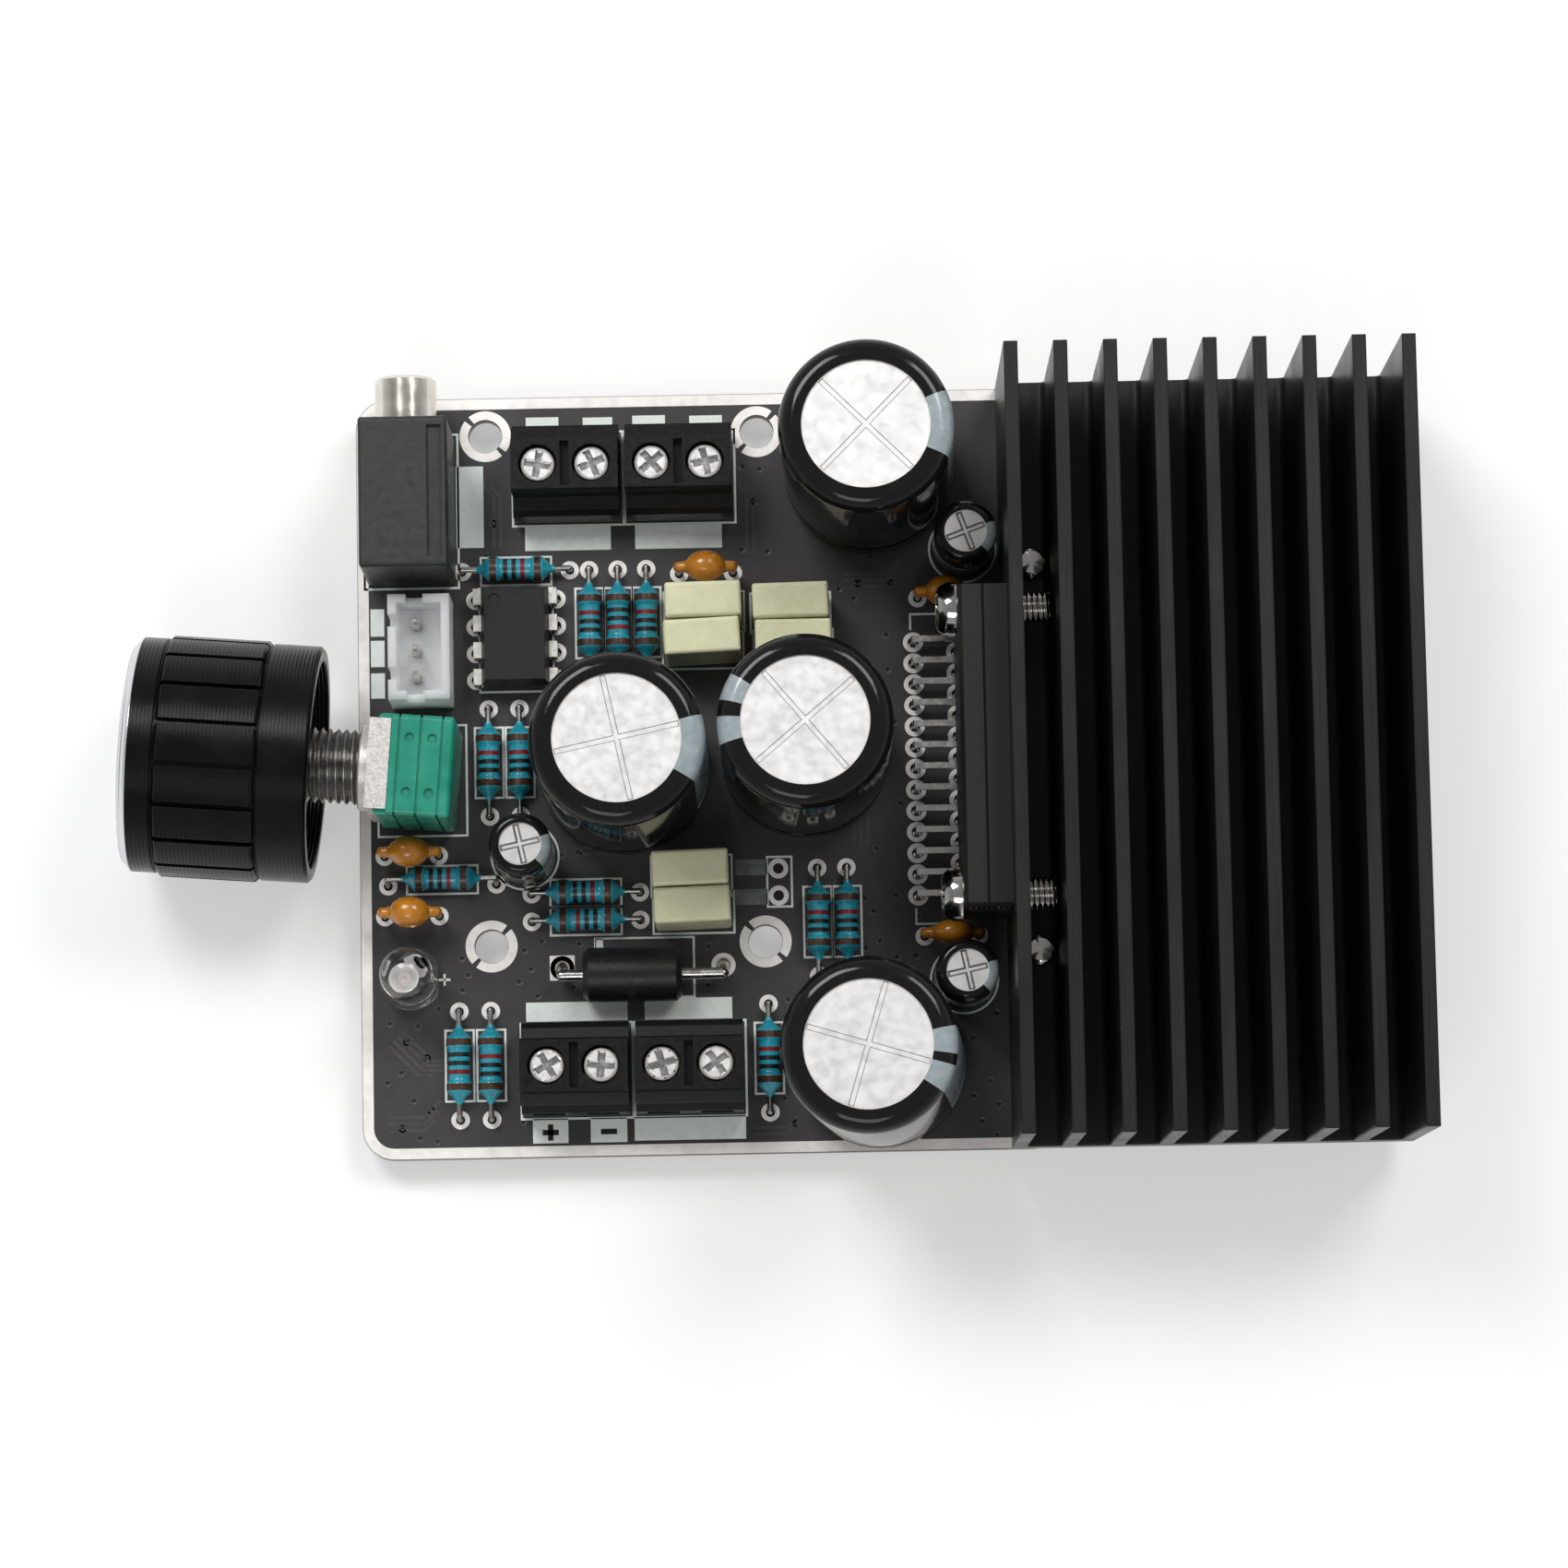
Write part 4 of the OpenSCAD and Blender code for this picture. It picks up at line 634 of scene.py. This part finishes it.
# Resistor outlines, with a short line towards each pad
RESISTOR_FRAME = Vector((6.65, 2.65)) / 2
RESISTOR_REACH = 4.2
for box in solids("resistor_bodies"):
    c = middle(box).to_2d()
    size = box[1] - box[0]
    way = Vector((1, 0)) if size.x > size.y else Vector((0, 1))
    across = Vector((way.y, way.x))
    half = way * RESISTOR_FRAME.x + across * RESISTOR_FRAME.y
    corners = rectangle(c.x - half.x, c.y - half.y, c.x + half.x, c.y + half.y)
    stroke(silk, corners, LINE, low, high, True)
    for side in (-1, 1):
        ends = [c + way * side * RESISTOR_FRAME.x, c + way * side * RESISTOR_REACH]
        stroke(silk, ends, LINE, low, high)

# Outlines of other parts, by how far they stand off
OUTLINES = (("film_capacitors", 0.2), ("op_amp", 0.3), ("audio_jack_body", 0.3),
            ("volume_pot_body", 0.3))
TERMINAL_OUTLINE = 0.22
SMALL_RING = 3.05
for node, grow in OUTLINES:
    for box in solids(node):
        outline(box, grow)
for i in range(1, 5):
    outline([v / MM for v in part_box(f"terminal_block_{i}")], TERMINAL_OUTLINE)
for box in solids("small_capacitors"):
    ring(silk, middle(box).to_2d(), SMALL_RING, SMALL_RING + LINE, low, high, steps=48)

# The diode's outline, with a thick bar at its left end
DIODE_FRAME = (-3.15, -29.3, 6.1, -23.7)
DIODE_BAR = 0.75
x0, y0, x1, y1 = DIODE_FRAME
stroke(silk, rectangle(*DIODE_FRAME), LINE, low, high, True)
stroke(silk, [(x0 + DIODE_BAR / 2, y0), (x0 + DIODE_BAR / 2, y1)], DIODE_BAR, low, high)

# The spare plug's outline, the lamp's plus and the chip's corner marks
SPARE_FRAME = (13.1, -21, 15.4, -16.3)
stroke(silk, rectangle(*SPARE_FRAME), LINE, low, high, True)
lamp = middle([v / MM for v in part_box("led_lens")])
PLUS_ARM = 0.55
PLUS_AWAY = 3.3
plus = Vector((lamp.x + PLUS_AWAY, lamp.y))
stroke(silk, [plus - Vector((PLUS_ARM, 0)), plus + Vector((PLUS_ARM, 0))], LINE, low, high)
stroke(silk, [plus - Vector((0, PLUS_ARM)), plus + Vector((0, PLUS_ARM))], LINE, low, high)
MARK_NEAR = 0.9
MARK_FAR = 2.4
MARK_LEG = 2.6
chip_leads = [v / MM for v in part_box("amplifier_chip_leads")]
chip_x = chip_leads[0].x
for side, y in ((1, chip_leads[1].y), (-1, chip_leads[0].y)):
    stroke(silk, [(chip_x, y + side * MARK_NEAR), (chip_x, y + side * MARK_FAR),
                  (chip_x + MARK_LEG, y + side * MARK_FAR)], LINE, low, high)

# Blank labels: corners of each pale patch
LABELS = [(-9.0, 24.7, -5.9, 26.0), (-3.6, 24.6, -0.8, 25.9), (1.1, 24.7, 4.2, 26.0),
          (6.5, 24.7, 9.6, 25.9), (-9.2, 13.2, -1.1, 15.5), (1.2, 13.2, 9.4, 15.5),
          (-15.7, 13.6, -13.1, 21.4),
          (-9.7, -31.4, -0.2, -29.6), (1.4, -31.4, 9.6, -29.4), (0.3, -42.7, 10.7, -40.5),
          (-9.2, -42.8, -5.9, -40.5), (-3.8, -42.8, -0.4, -40.5),
          (-23.9, 5.3, -22.6, 7.9), (-23.9, 2.4, -22.6, 4.9), (-23.9, -0.6, -22.6, 1.8)]
for label in LABELS:
    patch(silk, *label)
silk.place("board")

# Dark plus and minus on the supply's labels, a dark disc of painted shade in each spare pad's hole, and the dull
# patches beside the spare plug
marks = Piece("board_marks", "board_laminate", INKED, SILK_FAINT)
PLUS_X = -7.55
MINUS_X = -2.1
SIGN_Y = -41.8
SIGN_ARM = 0.75
SIGN_WIDTH = 0.5
signs = [[(PLUS_X - SIGN_ARM, SIGN_Y), (PLUS_X + SIGN_ARM, SIGN_Y)],
         [(PLUS_X, SIGN_Y - SIGN_ARM), (PLUS_X, SIGN_Y + SIGN_ARM)],
         [(MINUS_X - SIGN_ARM, SIGN_Y), (MINUS_X + SIGN_ARM, SIGN_Y)]]
for sign in signs:
    stroke(marks, sign, SIGN_WIDTH, high - SUNK, high + INK)
# A dark disc over each spare pad's hole: painted shade inside the hole
for spot in SPARE_PADS:
    lathe(marks, [(SPARE_HOLE, -SUNK), (SPARE_HOLE, SUNK), (0, SUNK)], at(*spot, BOARD_TOP), 32)
DULL_LEFT = 10.1
DULL_RIGHT = 13.1
DULL_HEIGHT = 1.5
DULL_LOW = (-18.0, -20.8)
for y in DULL_LOW:
    patch(marks, DULL_LEFT, y, DULL_RIGHT, y + DULL_HEIGHT, 1)
marks.place("board")

# Copper tracks under the mask: a first point, a way, a length, and how many lie side by side
TRACKS = [((-16.2, 3.6), (1, 1), 1.2, 3), ((-22.6, -33.4), (1, -1), 4, 4),
          ((-22.8, -41.4), (1, 0), 3.5, 3), ((12.4, 12.5), (0, 1), 6, 2),
          ((20.8, 9.2), (1, 0), 4, 3), ((22.6, -15.4), (0, 1), 5, 3),
          ((-4.5, -15.7), (1, 0), 4, 3), ((11.6, -42.3), (1, 0), 3, 2),
          ((-11.5, 13.5), (0, 1), 5, 2)]
TRACK_WIDTH = 0.32
TRACK_PITCH = 0.62
TRACK_HEIGHT = 0.015
BEND_LENGTH = 1.4    # length after the bend, of the first track
BEND_STEP = 0.4      # and how much more each next one has
tracks = Piece("board_tracks", "board_laminate", TRACK, INKED)
for (x, y), way, length, count in TRACKS:
    way = Vector(way).normalized()
    across = Vector((-way.y, way.x))
    for k in range(count):
        start = Vector((x, y)) + across * k * TRACK_PITCH
        bend = start + way * length
        end = bend + (way + across).normalized() * (BEND_LENGTH + BEND_STEP * k)
        stroke(tracks, [start, bend, end], TRACK_WIDTH, low, BOARD_TOP + TRACK_HEIGHT)

# Covered vias, scattered over the open stretches of board: corners of a field, and tries in it
VIA_FIELDS = [(-23, -43, -18, -31, 22), (11.5, -43, 15.5, -29, 18), (26, 14, 29.5, 26, 16),
              (11, 12, 15, 26, 14), (-23, -31.5, -17, -30, 5), (22, -27, 28, -20, 16),
              (-12, -43, 11, -39.6, 22), (23, -16, 26.3, 6, 22), (-16.5, -30, -4.5, -23, 24),
              (32, -43, 35, -31, 12), (-7, -16, 2, -12, 12), (20, 8, 27, 13, 14),
              (7, -29, 14, -23, 12), (-13, 12.5, -10.5, 22, 8)]
VIA = 0.21
VIA_ROOM = 1.5
VIA_FLOOR = 0.002
VIA_PROFILE = [(VIA * 1.9, -SUNK), (VIA * 1.8, INK * 0.5), (VIA, INK * 0.5), (VIA * 0.9, VIA_FLOOR),
               (0, VIA_FLOOR)]
occupied = [(x, y) for x, y, hole in joints]
for spot in hole_spots:
    occupied += arc(spot, holes["hole_r_mm"], 0, 360)
random.seed(7)
for x0, y0, x1, y1, count in VIA_FIELDS:
    for k in range(count):
        spot = Vector((random.uniform(x0, x1), random.uniform(y0, y1)))
        if all((spot - Vector(taken)).length > VIA_ROOM for taken in occupied):
            occupied.append(spot)
            lathe(tracks, VIA_PROFILE, at(*spot, BOARD_TOP), 16, lambda step, turn: step > 1)
tracks.place("board")


# Resistors: a dumb-bell of coat with five bands

COAT_HALF = 3.7
CAP_R = 1.2
WAIST_R = 1.0
TAIL_R = 0.3
CAP_FROM = 1.35
CAP_BLEND = 0.45
TAPER_FROM = 2.4
TAPER_POWER = 0.8
STATION_STEP = 0.1
STATION_COUNT = 75
# Start, end and material of each band
BANDS = [(-2.42, -1.78, 1), (-1.14, -0.72, 2), (-0.33, 0.09, 2), (0.49, 0.91, 3), (1.78, 2.42, 1)]
# Which way each resistor's red band lies, by place from left to right
RED_ENDS = (1, -1, 1, 1, 1, 1, -1, 1, 1, -1, 1, 1, 1, 1)


def coat_radius(t):
    """Radius of the coat at a distance along the resistor from its middle."""
    a = abs(t)
    cap = min(max((a - CAP_FROM) / CAP_BLEND, 0), 1)
    radius = WAIST_R + (CAP_R - WAIST_R) * cap * cap * (3 - 2 * cap)
    end = max((a - TAPER_FROM) / (COAT_HALF - TAPER_FROM), 0)
    return TAIL_R + (radius - TAIL_R) * (0.5 + 0.5 * math.cos(math.pi * end ** TAPER_POWER))


edges = {t for start, end, index in BANDS for t in (start, end)}
evenly = {round(-COAT_HALF + STATION_STEP * k, 2) for k in range(STATION_COUNT)}
coat = [(0, -COAT_HALF)] + [(coat_radius(t), t) for t in sorted(evenly | edges)] + [(0, COAT_HALF)]


def band_at(step, turn):
    """The material at a step along the coat, the same all round."""
    t = (coat[step][1] + coat[step + 1][1]) / 2
    return next((index for start, end, index in BANDS if start < t < end), 0)


resistors = Piece("resistors", "resistor_coat", BLUE, BAND_BROWN, BAND_BLACK, BAND_RED)
for box, red_end in zip(solids("resistor_bodies"), RED_ENDS):
    size = box[1] - box[0]
    way = (red_end, 0, 0) if size.x > size.y else (0, red_end, 0)
    lathe(resistors, coat, along(middle(box), way), 32, band_at)
resistors.place("board", "resistor_bodies")


# Electrolytic capacitors: a sleeve with a stripe, rolled over the rim of a scored can

LIP = 0.25           # depth of the vent below the rim
CRIMP_SHARE = 0.045  # depth of the crimp, as a share of the radius


def cross_face(piece, place, radius, arm, half, floor_half, depth, index=0, sunk=0, bottom=0):
    """A flat disc with a cross pressed into it: half is half a groove's width at the top, and
    the disc, the groove's sides and its bottom have a material each."""
    def polygon(turned, points, material):
        piece.face([piece.bm.verts.new(turned @ Vector(p)) for p in points], material)

    rim = math.degrees(math.asin(half / radius))
    tip = arm - (half - floor_half)
    for quarter in range(4):
        turned = place @ Matrix.Rotation(math.radians(90 * quarter), 4, "Z")
        round_edge = [(x, y, 0) for x, y in arc((0, 0), radius, rim, 90 - rim, 12)]
        end_edge = [(x, y, 0) for x, y in arc((0, 0), radius, -rim, rim, 2)]
        polygon(turned, [(half, half, 0), (arm, half, 0), *round_edge, (half, arm, 0)], index)
        polygon(turned, [(arm, -half, 0), *end_edge, (arm, half, 0)], index)
        for s in (-1, 1):
            polygon(turned, [(half, s * half, 0), (arm, s * half, 0), (tip, s * floor_half, -depth),
                             (floor_half, s * floor_half, -depth)], sunk)
        polygon(turned, [(arm, -half, 0), (arm, half, 0), (tip, floor_half, -depth),
                         (tip, -floor_half, -depth)], sunk)
        polygon(turned, [(floor_half, -floor_half, -depth), (tip, -floor_half, -depth),
                         (tip, floor_half, -depth), (floor_half, floor_half, -depth)], bottom)
    polygon(place, [(floor_half, floor_half, -depth), (-floor_half, floor_half, -depth),
                    (-floor_half, -floor_half, -depth), (floor_half, -floor_half, -depth)], bottom)


def within(turn, span):
    """Whether a turn lies in a span of degrees."""
    start, end = span
    return (turn - start) % 360 < end - start


def can(piece, place, radius, height, vent, shoulder, crimp, stripe, minus, cross):
    """A capacitor on a place: stripe and minus are spans of degrees, and cross is the vent's
    turn, and the arm, half, floor_half and depth of its cross_face."""
    neck = radius * CRIMP_SHARE
    profile = [(0, 0), (radius * 0.9, 0), (radius - 0.1, 0.12), (radius, 0.4),
               (radius, crimp - 0.6), (radius - neck, crimp - 0.2), (radius - neck, crimp + 0.2),
               (radius, crimp + 0.6)]
    rolled = len(profile) - 1
    for a in range(0, 91, 15):
        x, z = polar(shoulder, a)
        profile.append((radius - shoulder + x, height - shoulder + z))
    profile += [(vent + 0.08, height - 0.005), (vent + 0.02, height - 0.04), (vent, height - LIP)]

    def printed(step, turn):
        if not within(turn, stripe):
            return 0
        return 0 if within(turn, minus) and step > rolled else 1

    lathe(piece, profile, place, 96, printed)
    turn, arm, half, floor_half, depth = cross
    top = place @ Matrix.Translation((0, 0, height - LIP + 0.01))
    turned = top @ Matrix.Rotation(math.radians(turn), 4, "Z")
    # The cross's walls take the darker score material, painted shade in the grooves
    cross_face(piece, turned, vent + 0.04, arm, half, floor_half, depth, 2, 3, 2)


# Lean in degrees, stripe, minus and turn of the cross, for each filter capacitor
FILTERS = [(1.3, (-24, 22), (0, 0), 45), (0, (-30, 15), (0, 0), 12),
           (0, (148, 194.5), (166, 176), 40), (3.4, (-35, 13), (-16, -7), -17)]
VENT_R = 5.85
FILTER_SHOULDER = 1.5
FILTER_CRIMP = 3.2
FILTER_SCORE = (VENT_R - 0.1, 0.27, 0.2, 0.04)
for i, (lean, stripe, minus, turn) in enumerate(FILTERS, 1):
    name = f"filter_capacitor_{i}"
    lo, hi = (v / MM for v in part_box(name))
    tip = math.radians(lean)
    radius = (hi.y - lo.y) / 2
    height = (hi.z - lo.z - 2 * radius * math.sin(tip)) / math.cos(tip)
    base = at(hi.x - radius * math.cos(tip), middle((lo, hi)).y, lo.z + radius * math.sin(tip))
    piece = Piece(f"{name}_sleeved", "sleeve_black", SLEEVE, STRIPE, VENT, VENT_SCORE_SHADE)
    can(piece, base @ Matrix.Rotation(-tip, 4, "Y"), radius, height, VENT_R, FILTER_SHOULDER,
        FILTER_CRIMP, stripe, minus, (turn, *FILTER_SCORE))
    piece.place("board", name, sharp=20)

SMALL_VENT = 1.95
SMALL_SHOULDER = 0.7
SMALL_CRIMP = 1.9
SMALL_SCORE = (SMALL_VENT - 0.08, 0.3, 0.12, 0.12)
SMALL_STRIPE = (-45, 20)
SMALL_TURNS = (12, 12, 20)
small = Piece("small_capacitors_sleeved", "sleeve_black", SLEEVE, STRIPE, VENT, VENT_SCORE_SHADE)
for box, turn in zip(solids("small_capacitors"), SMALL_TURNS):
    c = middle(box)
    radius = (box[1].x - box[0].x) / 2
    can(small, at(c.x, c.y, box[0].z), radius, box[1].z - box[0].z, SMALL_VENT, SMALL_SHOULDER,
        SMALL_CRIMP, SMALL_STRIPE, (0, 0), (turn, *SMALL_SCORE))
small.place("board", "small_capacitors", sharp=20)


# Dipped ceramic capacitors: a rounded body, and coat that runs out along both leads

NECK_R = 0.5
NECK_REACH = 2.54
BLOB_POWER = 0.85
BLOB = [(math.cos(math.radians(a)) ** BLOB_POWER if abs(a) < 90 else 0, math.sin(math.radians(a)))
        for a in range(-90, 91, 10)]
NECK = [(0.9, 0.9), (0.85, 1.3), (0.62, 1.75), (NECK_R, 2.15), (NECK_R, 2.5), (0.44, 2.75),
        (0.25, 2.92), (0, 2.96)]
FOOT = [(0, -0.3), (NECK_R, 0), (0.46, 0.5), (0.36, 1.1), (0.29, 1.5), (0, 1.52)]
drops = Piece("ceramic_drops", "ceramic_coat", CERAMIC)
for box in solids("ceramic_capacitors"):
    c = middle(box)
    size = box[1] - box[0]
    body = at(*c) @ Matrix.Diagonal((size.x / 2, size.y / 2, size.z / 2, 1))
    lathe(drops, BLOB, body, 36)
    bend = box[0].z + size.y / 2
    for side in (-1, 1):
        lathe(drops, NECK, along((c.x, c.y, bend), (side, 0, 0)), 24)
        lathe(drops, FOOT, along((c.x + side * NECK_REACH, c.y, bend), (0, 0, -1)), 20)
drops.place("board", "ceramic_capacitors", sharp=80)


# Screw threads

def thread(piece, place, root, crest, pitch, start, end, index=0, segments=40):
    """A threaded shank between two heights: a ridge wound along its helix."""
    def row(radius, lift):
        """One turn after another of a helix, cut off at the ends of the shank."""
        points = []
        for k in range(round((end - start) / pitch * segments) + segments):
            height = start + pitch * (k / segments - 1 + lift)
            inside = start < height < end
            x, y = polar(radius if inside else root, 360 * k / segments)
            points.append(piece.bm.verts.new(place @ Vector((x, y, min(max(height, start), end)))))
        return points

    flank = root + 0.2 * (crest - root)
    rows = [row(root, 0), row(flank, 0.15), row(crest, 0.45), row(crest, 0.55), row(flank, 0.85),
            row(root, 1)]
    for below, above in zip(rows, rows[1:]):
        for k in range(len(below) - 1):
            piece.face([below[k], below[k + 1], above[k + 1], above[k]], index)
    for height in (start, end):
        lathe(piece, [(0, height), (root, height)], place, segments, lambda step, turn: index)


ROOT_SHARE = 0.84    # a machine screw's root, as a share of its crest


def machine_screw(piece, place, head_r, head_h, shank_r, length, pitch):
    """A pan-head screw whose head stands up from a place, with its shank below."""
    crown = head_r * 0.62
    lathe(piece, [(shank_r * 0.9, 0), (head_r, 0), (head_r, head_h * 0.4),
                  (head_r * 0.95, head_h * 0.65), (head_r * 0.82, head_h * 0.88), (crown, head_h)],
          place, 40)
    cross_face(piece, place @ Matrix.Translation((0, 0, head_h)), crown, crown * 0.92,
               head_r * 0.15, head_r * 0.08, head_h * 0.5)
    thread(piece, place, shank_r * ROOT_SHARE, shank_r, pitch, -length, 0)


chip_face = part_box("amplifier_chip")[0].x / MM
chip_screws = Piece("chip_screws_threaded", "screw_steel", CHROME)
CHIP_SCREW_R = 1.5
CHIP_SCREW_PITCH = 0.5
for box in solids("chip_screws"):
    c = middle(box)
    machine_screw(chip_screws, along((chip_face, c.y, c.z), (-1, 0, 0)), (box[1].y - box[0].y) / 2,
                  chip_face - box[0].x, CHIP_SCREW_R, box[1].x - chip_face, CHIP_SCREW_PITCH)
chip_screws.place("board", "chip_screws", sharp=25)

base_screws = Piece("heatsink_screws_threaded", "screw_steel", CHROME)
BASE_SCREW_R = 1.25
BASE_SCREW_PITCH = 0.45
for box in solids("heatsink_screws"):
    c = middle(box)
    machine_screw(base_screws, along((c.x, c.y, BOARD_LOW.z), (0, 0, -1)),
                  (box[1].y - box[0].y) / 2, BOARD_LOW.z - box[0].z, BASE_SCREW_R,
                  box[1].z - BOARD_LOW.z, BASE_SCREW_PITCH)
base_screws.place("board", "heatsink_screws", sharp=25)

# Clamp screws of the terminals, by the turn of each cross
TERMINAL_TURNS = (-10, 22, 40, 12, 30, -5, 15, 35)
TERMINAL_SHANK_R = 1.2
TERMINAL_ROOT_R = TERMINAL_SHANK_R * 0.85
TERMINAL_PITCH = 0.45
HEAD_H = 1.5
HEAD_EDGE = 0.3
CROSS_HALF = 0.36
CROSS_FLOOR_HALF = 0.24
CROSS_DEPTH = 0.55
for i, turn in enumerate(TERMINAL_TURNS, 1):
    lo, hi = (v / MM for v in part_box(f"terminal_screw_{i}"))
    head_r = (hi.x - lo.x) / 2
    face_r = head_r - HEAD_EDGE
    screw = Piece(f"terminal_screw_{i}_crossed", "screw_steel", SCREW_FACE, STEEL)
    place = at(middle((lo, hi)).x, middle((lo, hi)).y, 0)
    lathe(screw, [(TERMINAL_ROOT_R, hi.z - HEAD_H), (head_r, hi.z - HEAD_H),
                  (head_r, hi.z - HEAD_EDGE), (head_r - 0.08, hi.z - 0.12), (face_r, hi.z)],
          place, 48)
    face = place @ Matrix.Translation((0, 0, hi.z)) @ Matrix.Rotation(math.radians(turn), 4, "Z")
    # The cross's walls and floor take the darker steel: painted shade in the recess
    cross_face(screw, face, face_r, face_r * 0.97, CROSS_HALF, CROSS_FLOOR_HALF, CROSS_DEPTH,
               0, 1, 1)
    thread(screw, place, TERMINAL_ROOT_R, TERMINAL_SHANK_R, TERMINAL_PITCH, lo.z, hi.z - HEAD_H,
           1, 32)
    screw.place(f"screw_{i}", f"terminal_screw_{i}", sharp=25)

# Bushing of the volume control: a collar, then a thread round a smooth bore
bushing_start, bushing_end = reach_of("volume_pot_bushing")
shaft = along(SHAFT_AT / MM, SHAFT_WAY)
bushing = Piece("pot_bushing_threaded", "nickel", BUSHING, ZINC)
BORE_R = 3.05
COLLAR_R = 4
COLLAR_END = 0.9
COLLAR_BEVEL = 0.15
BUSHING_ROOT_R = 3.12
BUSHING_CREST_R = 3.5
BUSHING_PITCH = 0.75
lathe(bushing, [(BORE_R, bushing_start), (COLLAR_R, bushing_start),
                (COLLAR_R, COLLAR_END - COLLAR_BEVEL), (COLLAR_R - COLLAR_BEVEL, COLLAR_END),
                (BORE_R, COLLAR_END)], shaft, paint=lambda step, turn: 1)
thread(bushing, shaft, BUSHING_ROOT_R, BUSHING_CREST_R, BUSHING_PITCH, COLLAR_END, bushing_end,
       segments=48)
bushing.place("board", "volume_pot_bushing", sharp=25)

# Inside the lamp: a cup on one post with the die in it, and the other post
lamp_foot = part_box("led_lens")[0].z / MM
POST = 0.25
POST_GAP = 1.27
POST_Z = lamp_foot + 0.3
CUP_Z = lamp_foot + 4.4
DIE_HALF = 0.1
frame_piece = Piece("lamp_frame", "tinned_lead", LEAD, DIE, SCREW_FACE)
lathe(frame_piece, [(0, POST_Z), (POST, POST_Z), (POST, CUP_Z - 0.7), (0.5, CUP_Z - 0.4),
                    (0.58, CUP_Z), (0.5, CUP_Z), (0.24, CUP_Z - 0.25), (0, CUP_Z - 0.25)],
      at(lamp.x, lamp.y, 0), 40, lambda step, turn: 2 if step > 3 else 0)
lathe(frame_piece, [(0, CUP_Z - 0.24), (DIE_HALF, CUP_Z - 0.24), (DIE_HALF, CUP_Z - 0.14),
                    (0, CUP_Z - 0.14)], at(lamp.x, lamp.y, 0), 4, lambda step, turn: 1)
lathe(frame_piece, [(0, POST_Z), (POST, POST_Z), (POST, CUP_Z - 1), (0, CUP_Z - 0.9)],
      at(lamp.x + POST_GAP, lamp.y, 0), 20)
frame_piece.place("board")


# Floor, light and camera

FLOOR_GLOW = 0.38
FLOOR_SIZE = 6
FLOOR_GAP = 0.02 * MM
floor_paint = Paint("floor", Roughness=0.9)
tone = floor_paint.noise(60, 2)
floor_paint.set(Base_Color=floor_paint.mix(tone, (0.63, 0.63, 0.63), (0.65, 0.65, 0.65)))
seen = floor_paint.node("LightPath")
direct = floor_paint.math("MAXIMUM", seen.outputs["Is Camera Ray"], seen.outputs["Is Glossy Ray"])
direct = floor_paint.math("MAXIMUM", direct, seen.outputs["Is Transmission Ray"])
glow = floor_paint.math("MULTIPLY", direct, FLOOR_GLOW)
floor_paint.set(Emission_Color=(1, 1, 1, 1), Emission_Strength=glow)
bpy.ops.mesh.primitive_plane_add(size=FLOOR_SIZE, location=(0, 0, cad_box[0].z - FLOOR_GAP))
floor = bpy.context.object
floor.name = "floor"
floor.data.materials.append(floor_paint.material)

# A studio that is pale near the horizon and dim overhead, between the lamps
world = bpy.data.worlds.new("studio")
bpy.context.scene.world = world
world.use_nodes = True
sky = world.node_tree
height = sky.nodes.new("ShaderNodeSeparateXYZ")
sky.links.new(sky.nodes.new("ShaderNodeTexCoord").outputs["Generated"], height.inputs[0])
shade = sky.nodes.new("ShaderNodeMapRange")
sky.links.new(height.outputs["Z"], shade.inputs["Value"])
SKY = {"From Min": 0.15, "From Max": 0.7, "To Min": 0.62, "To Max": 0.3}
for socket, value in SKY.items():
    shade.inputs[socket].default_value = value
sky.links.new(shade.outputs[0], sky.nodes["Background"].inputs["Strength"])
sky.nodes["Background"].inputs["Color"].default_value = (1, 1, 1, 1)


SOFTBOX_DISTANCE = 0.9
SOFTBOX_SIZE = 0.3


def softbox(name, azimuth, elevation, power):
    """A square area lamp that faces the board, from an azimuth round it and an elevation."""
    light = bpy.data.lights.new(name, "AREA")
    light.size = SOFTBOX_SIZE
    light.energy = power
    made = bpy.data.objects.new(name, light)
    x, z = polar(SOFTBOX_DISTANCE, elevation)
    way = Vector((*polar(x, azimuth), z))
    made.location = CAMERA_TARGET + way
    made.rotation_euler = way.to_track_quat("Z", "Y").to_euler()
    bpy.context.scene.collection.objects.link(made)


softbox("back_left", 125, 54, 3.4)
softbox("back_right", 50, 54, 2.6)
softbox("front", 255, 58, 1.1)

lens = bpy.data.cameras.new("camera")
lens.sensor_width = SENSOR
lens.lens = FOCAL / PHOTO_SIDE * SENSOR
camera = bpy.data.objects.new("camera", lens)
bpy.context.scene.collection.objects.link(camera)
bpy.context.scene.camera = camera
ahead = Vector((0, math.sin(CAMERA_TILT), -math.cos(CAMERA_TILT)))
above = Vector((0, math.cos(CAMERA_TILT), math.sin(CAMERA_TILT)))
up = above * math.cos(CAMERA_ROLL) + Vector((1, 0, 0)) * math.sin(CAMERA_ROLL)
right = ahead.cross(up)
facing = Matrix((right, up, -ahead)).transposed().to_4x4()
camera.matrix_world = Matrix.Translation(CAMERA_TARGET - ahead * CAMERA_DISTANCE) @ facing
lens.clip_start = CLIP_START

bpy.context.scene.view_settings.view_transform = "Standard"
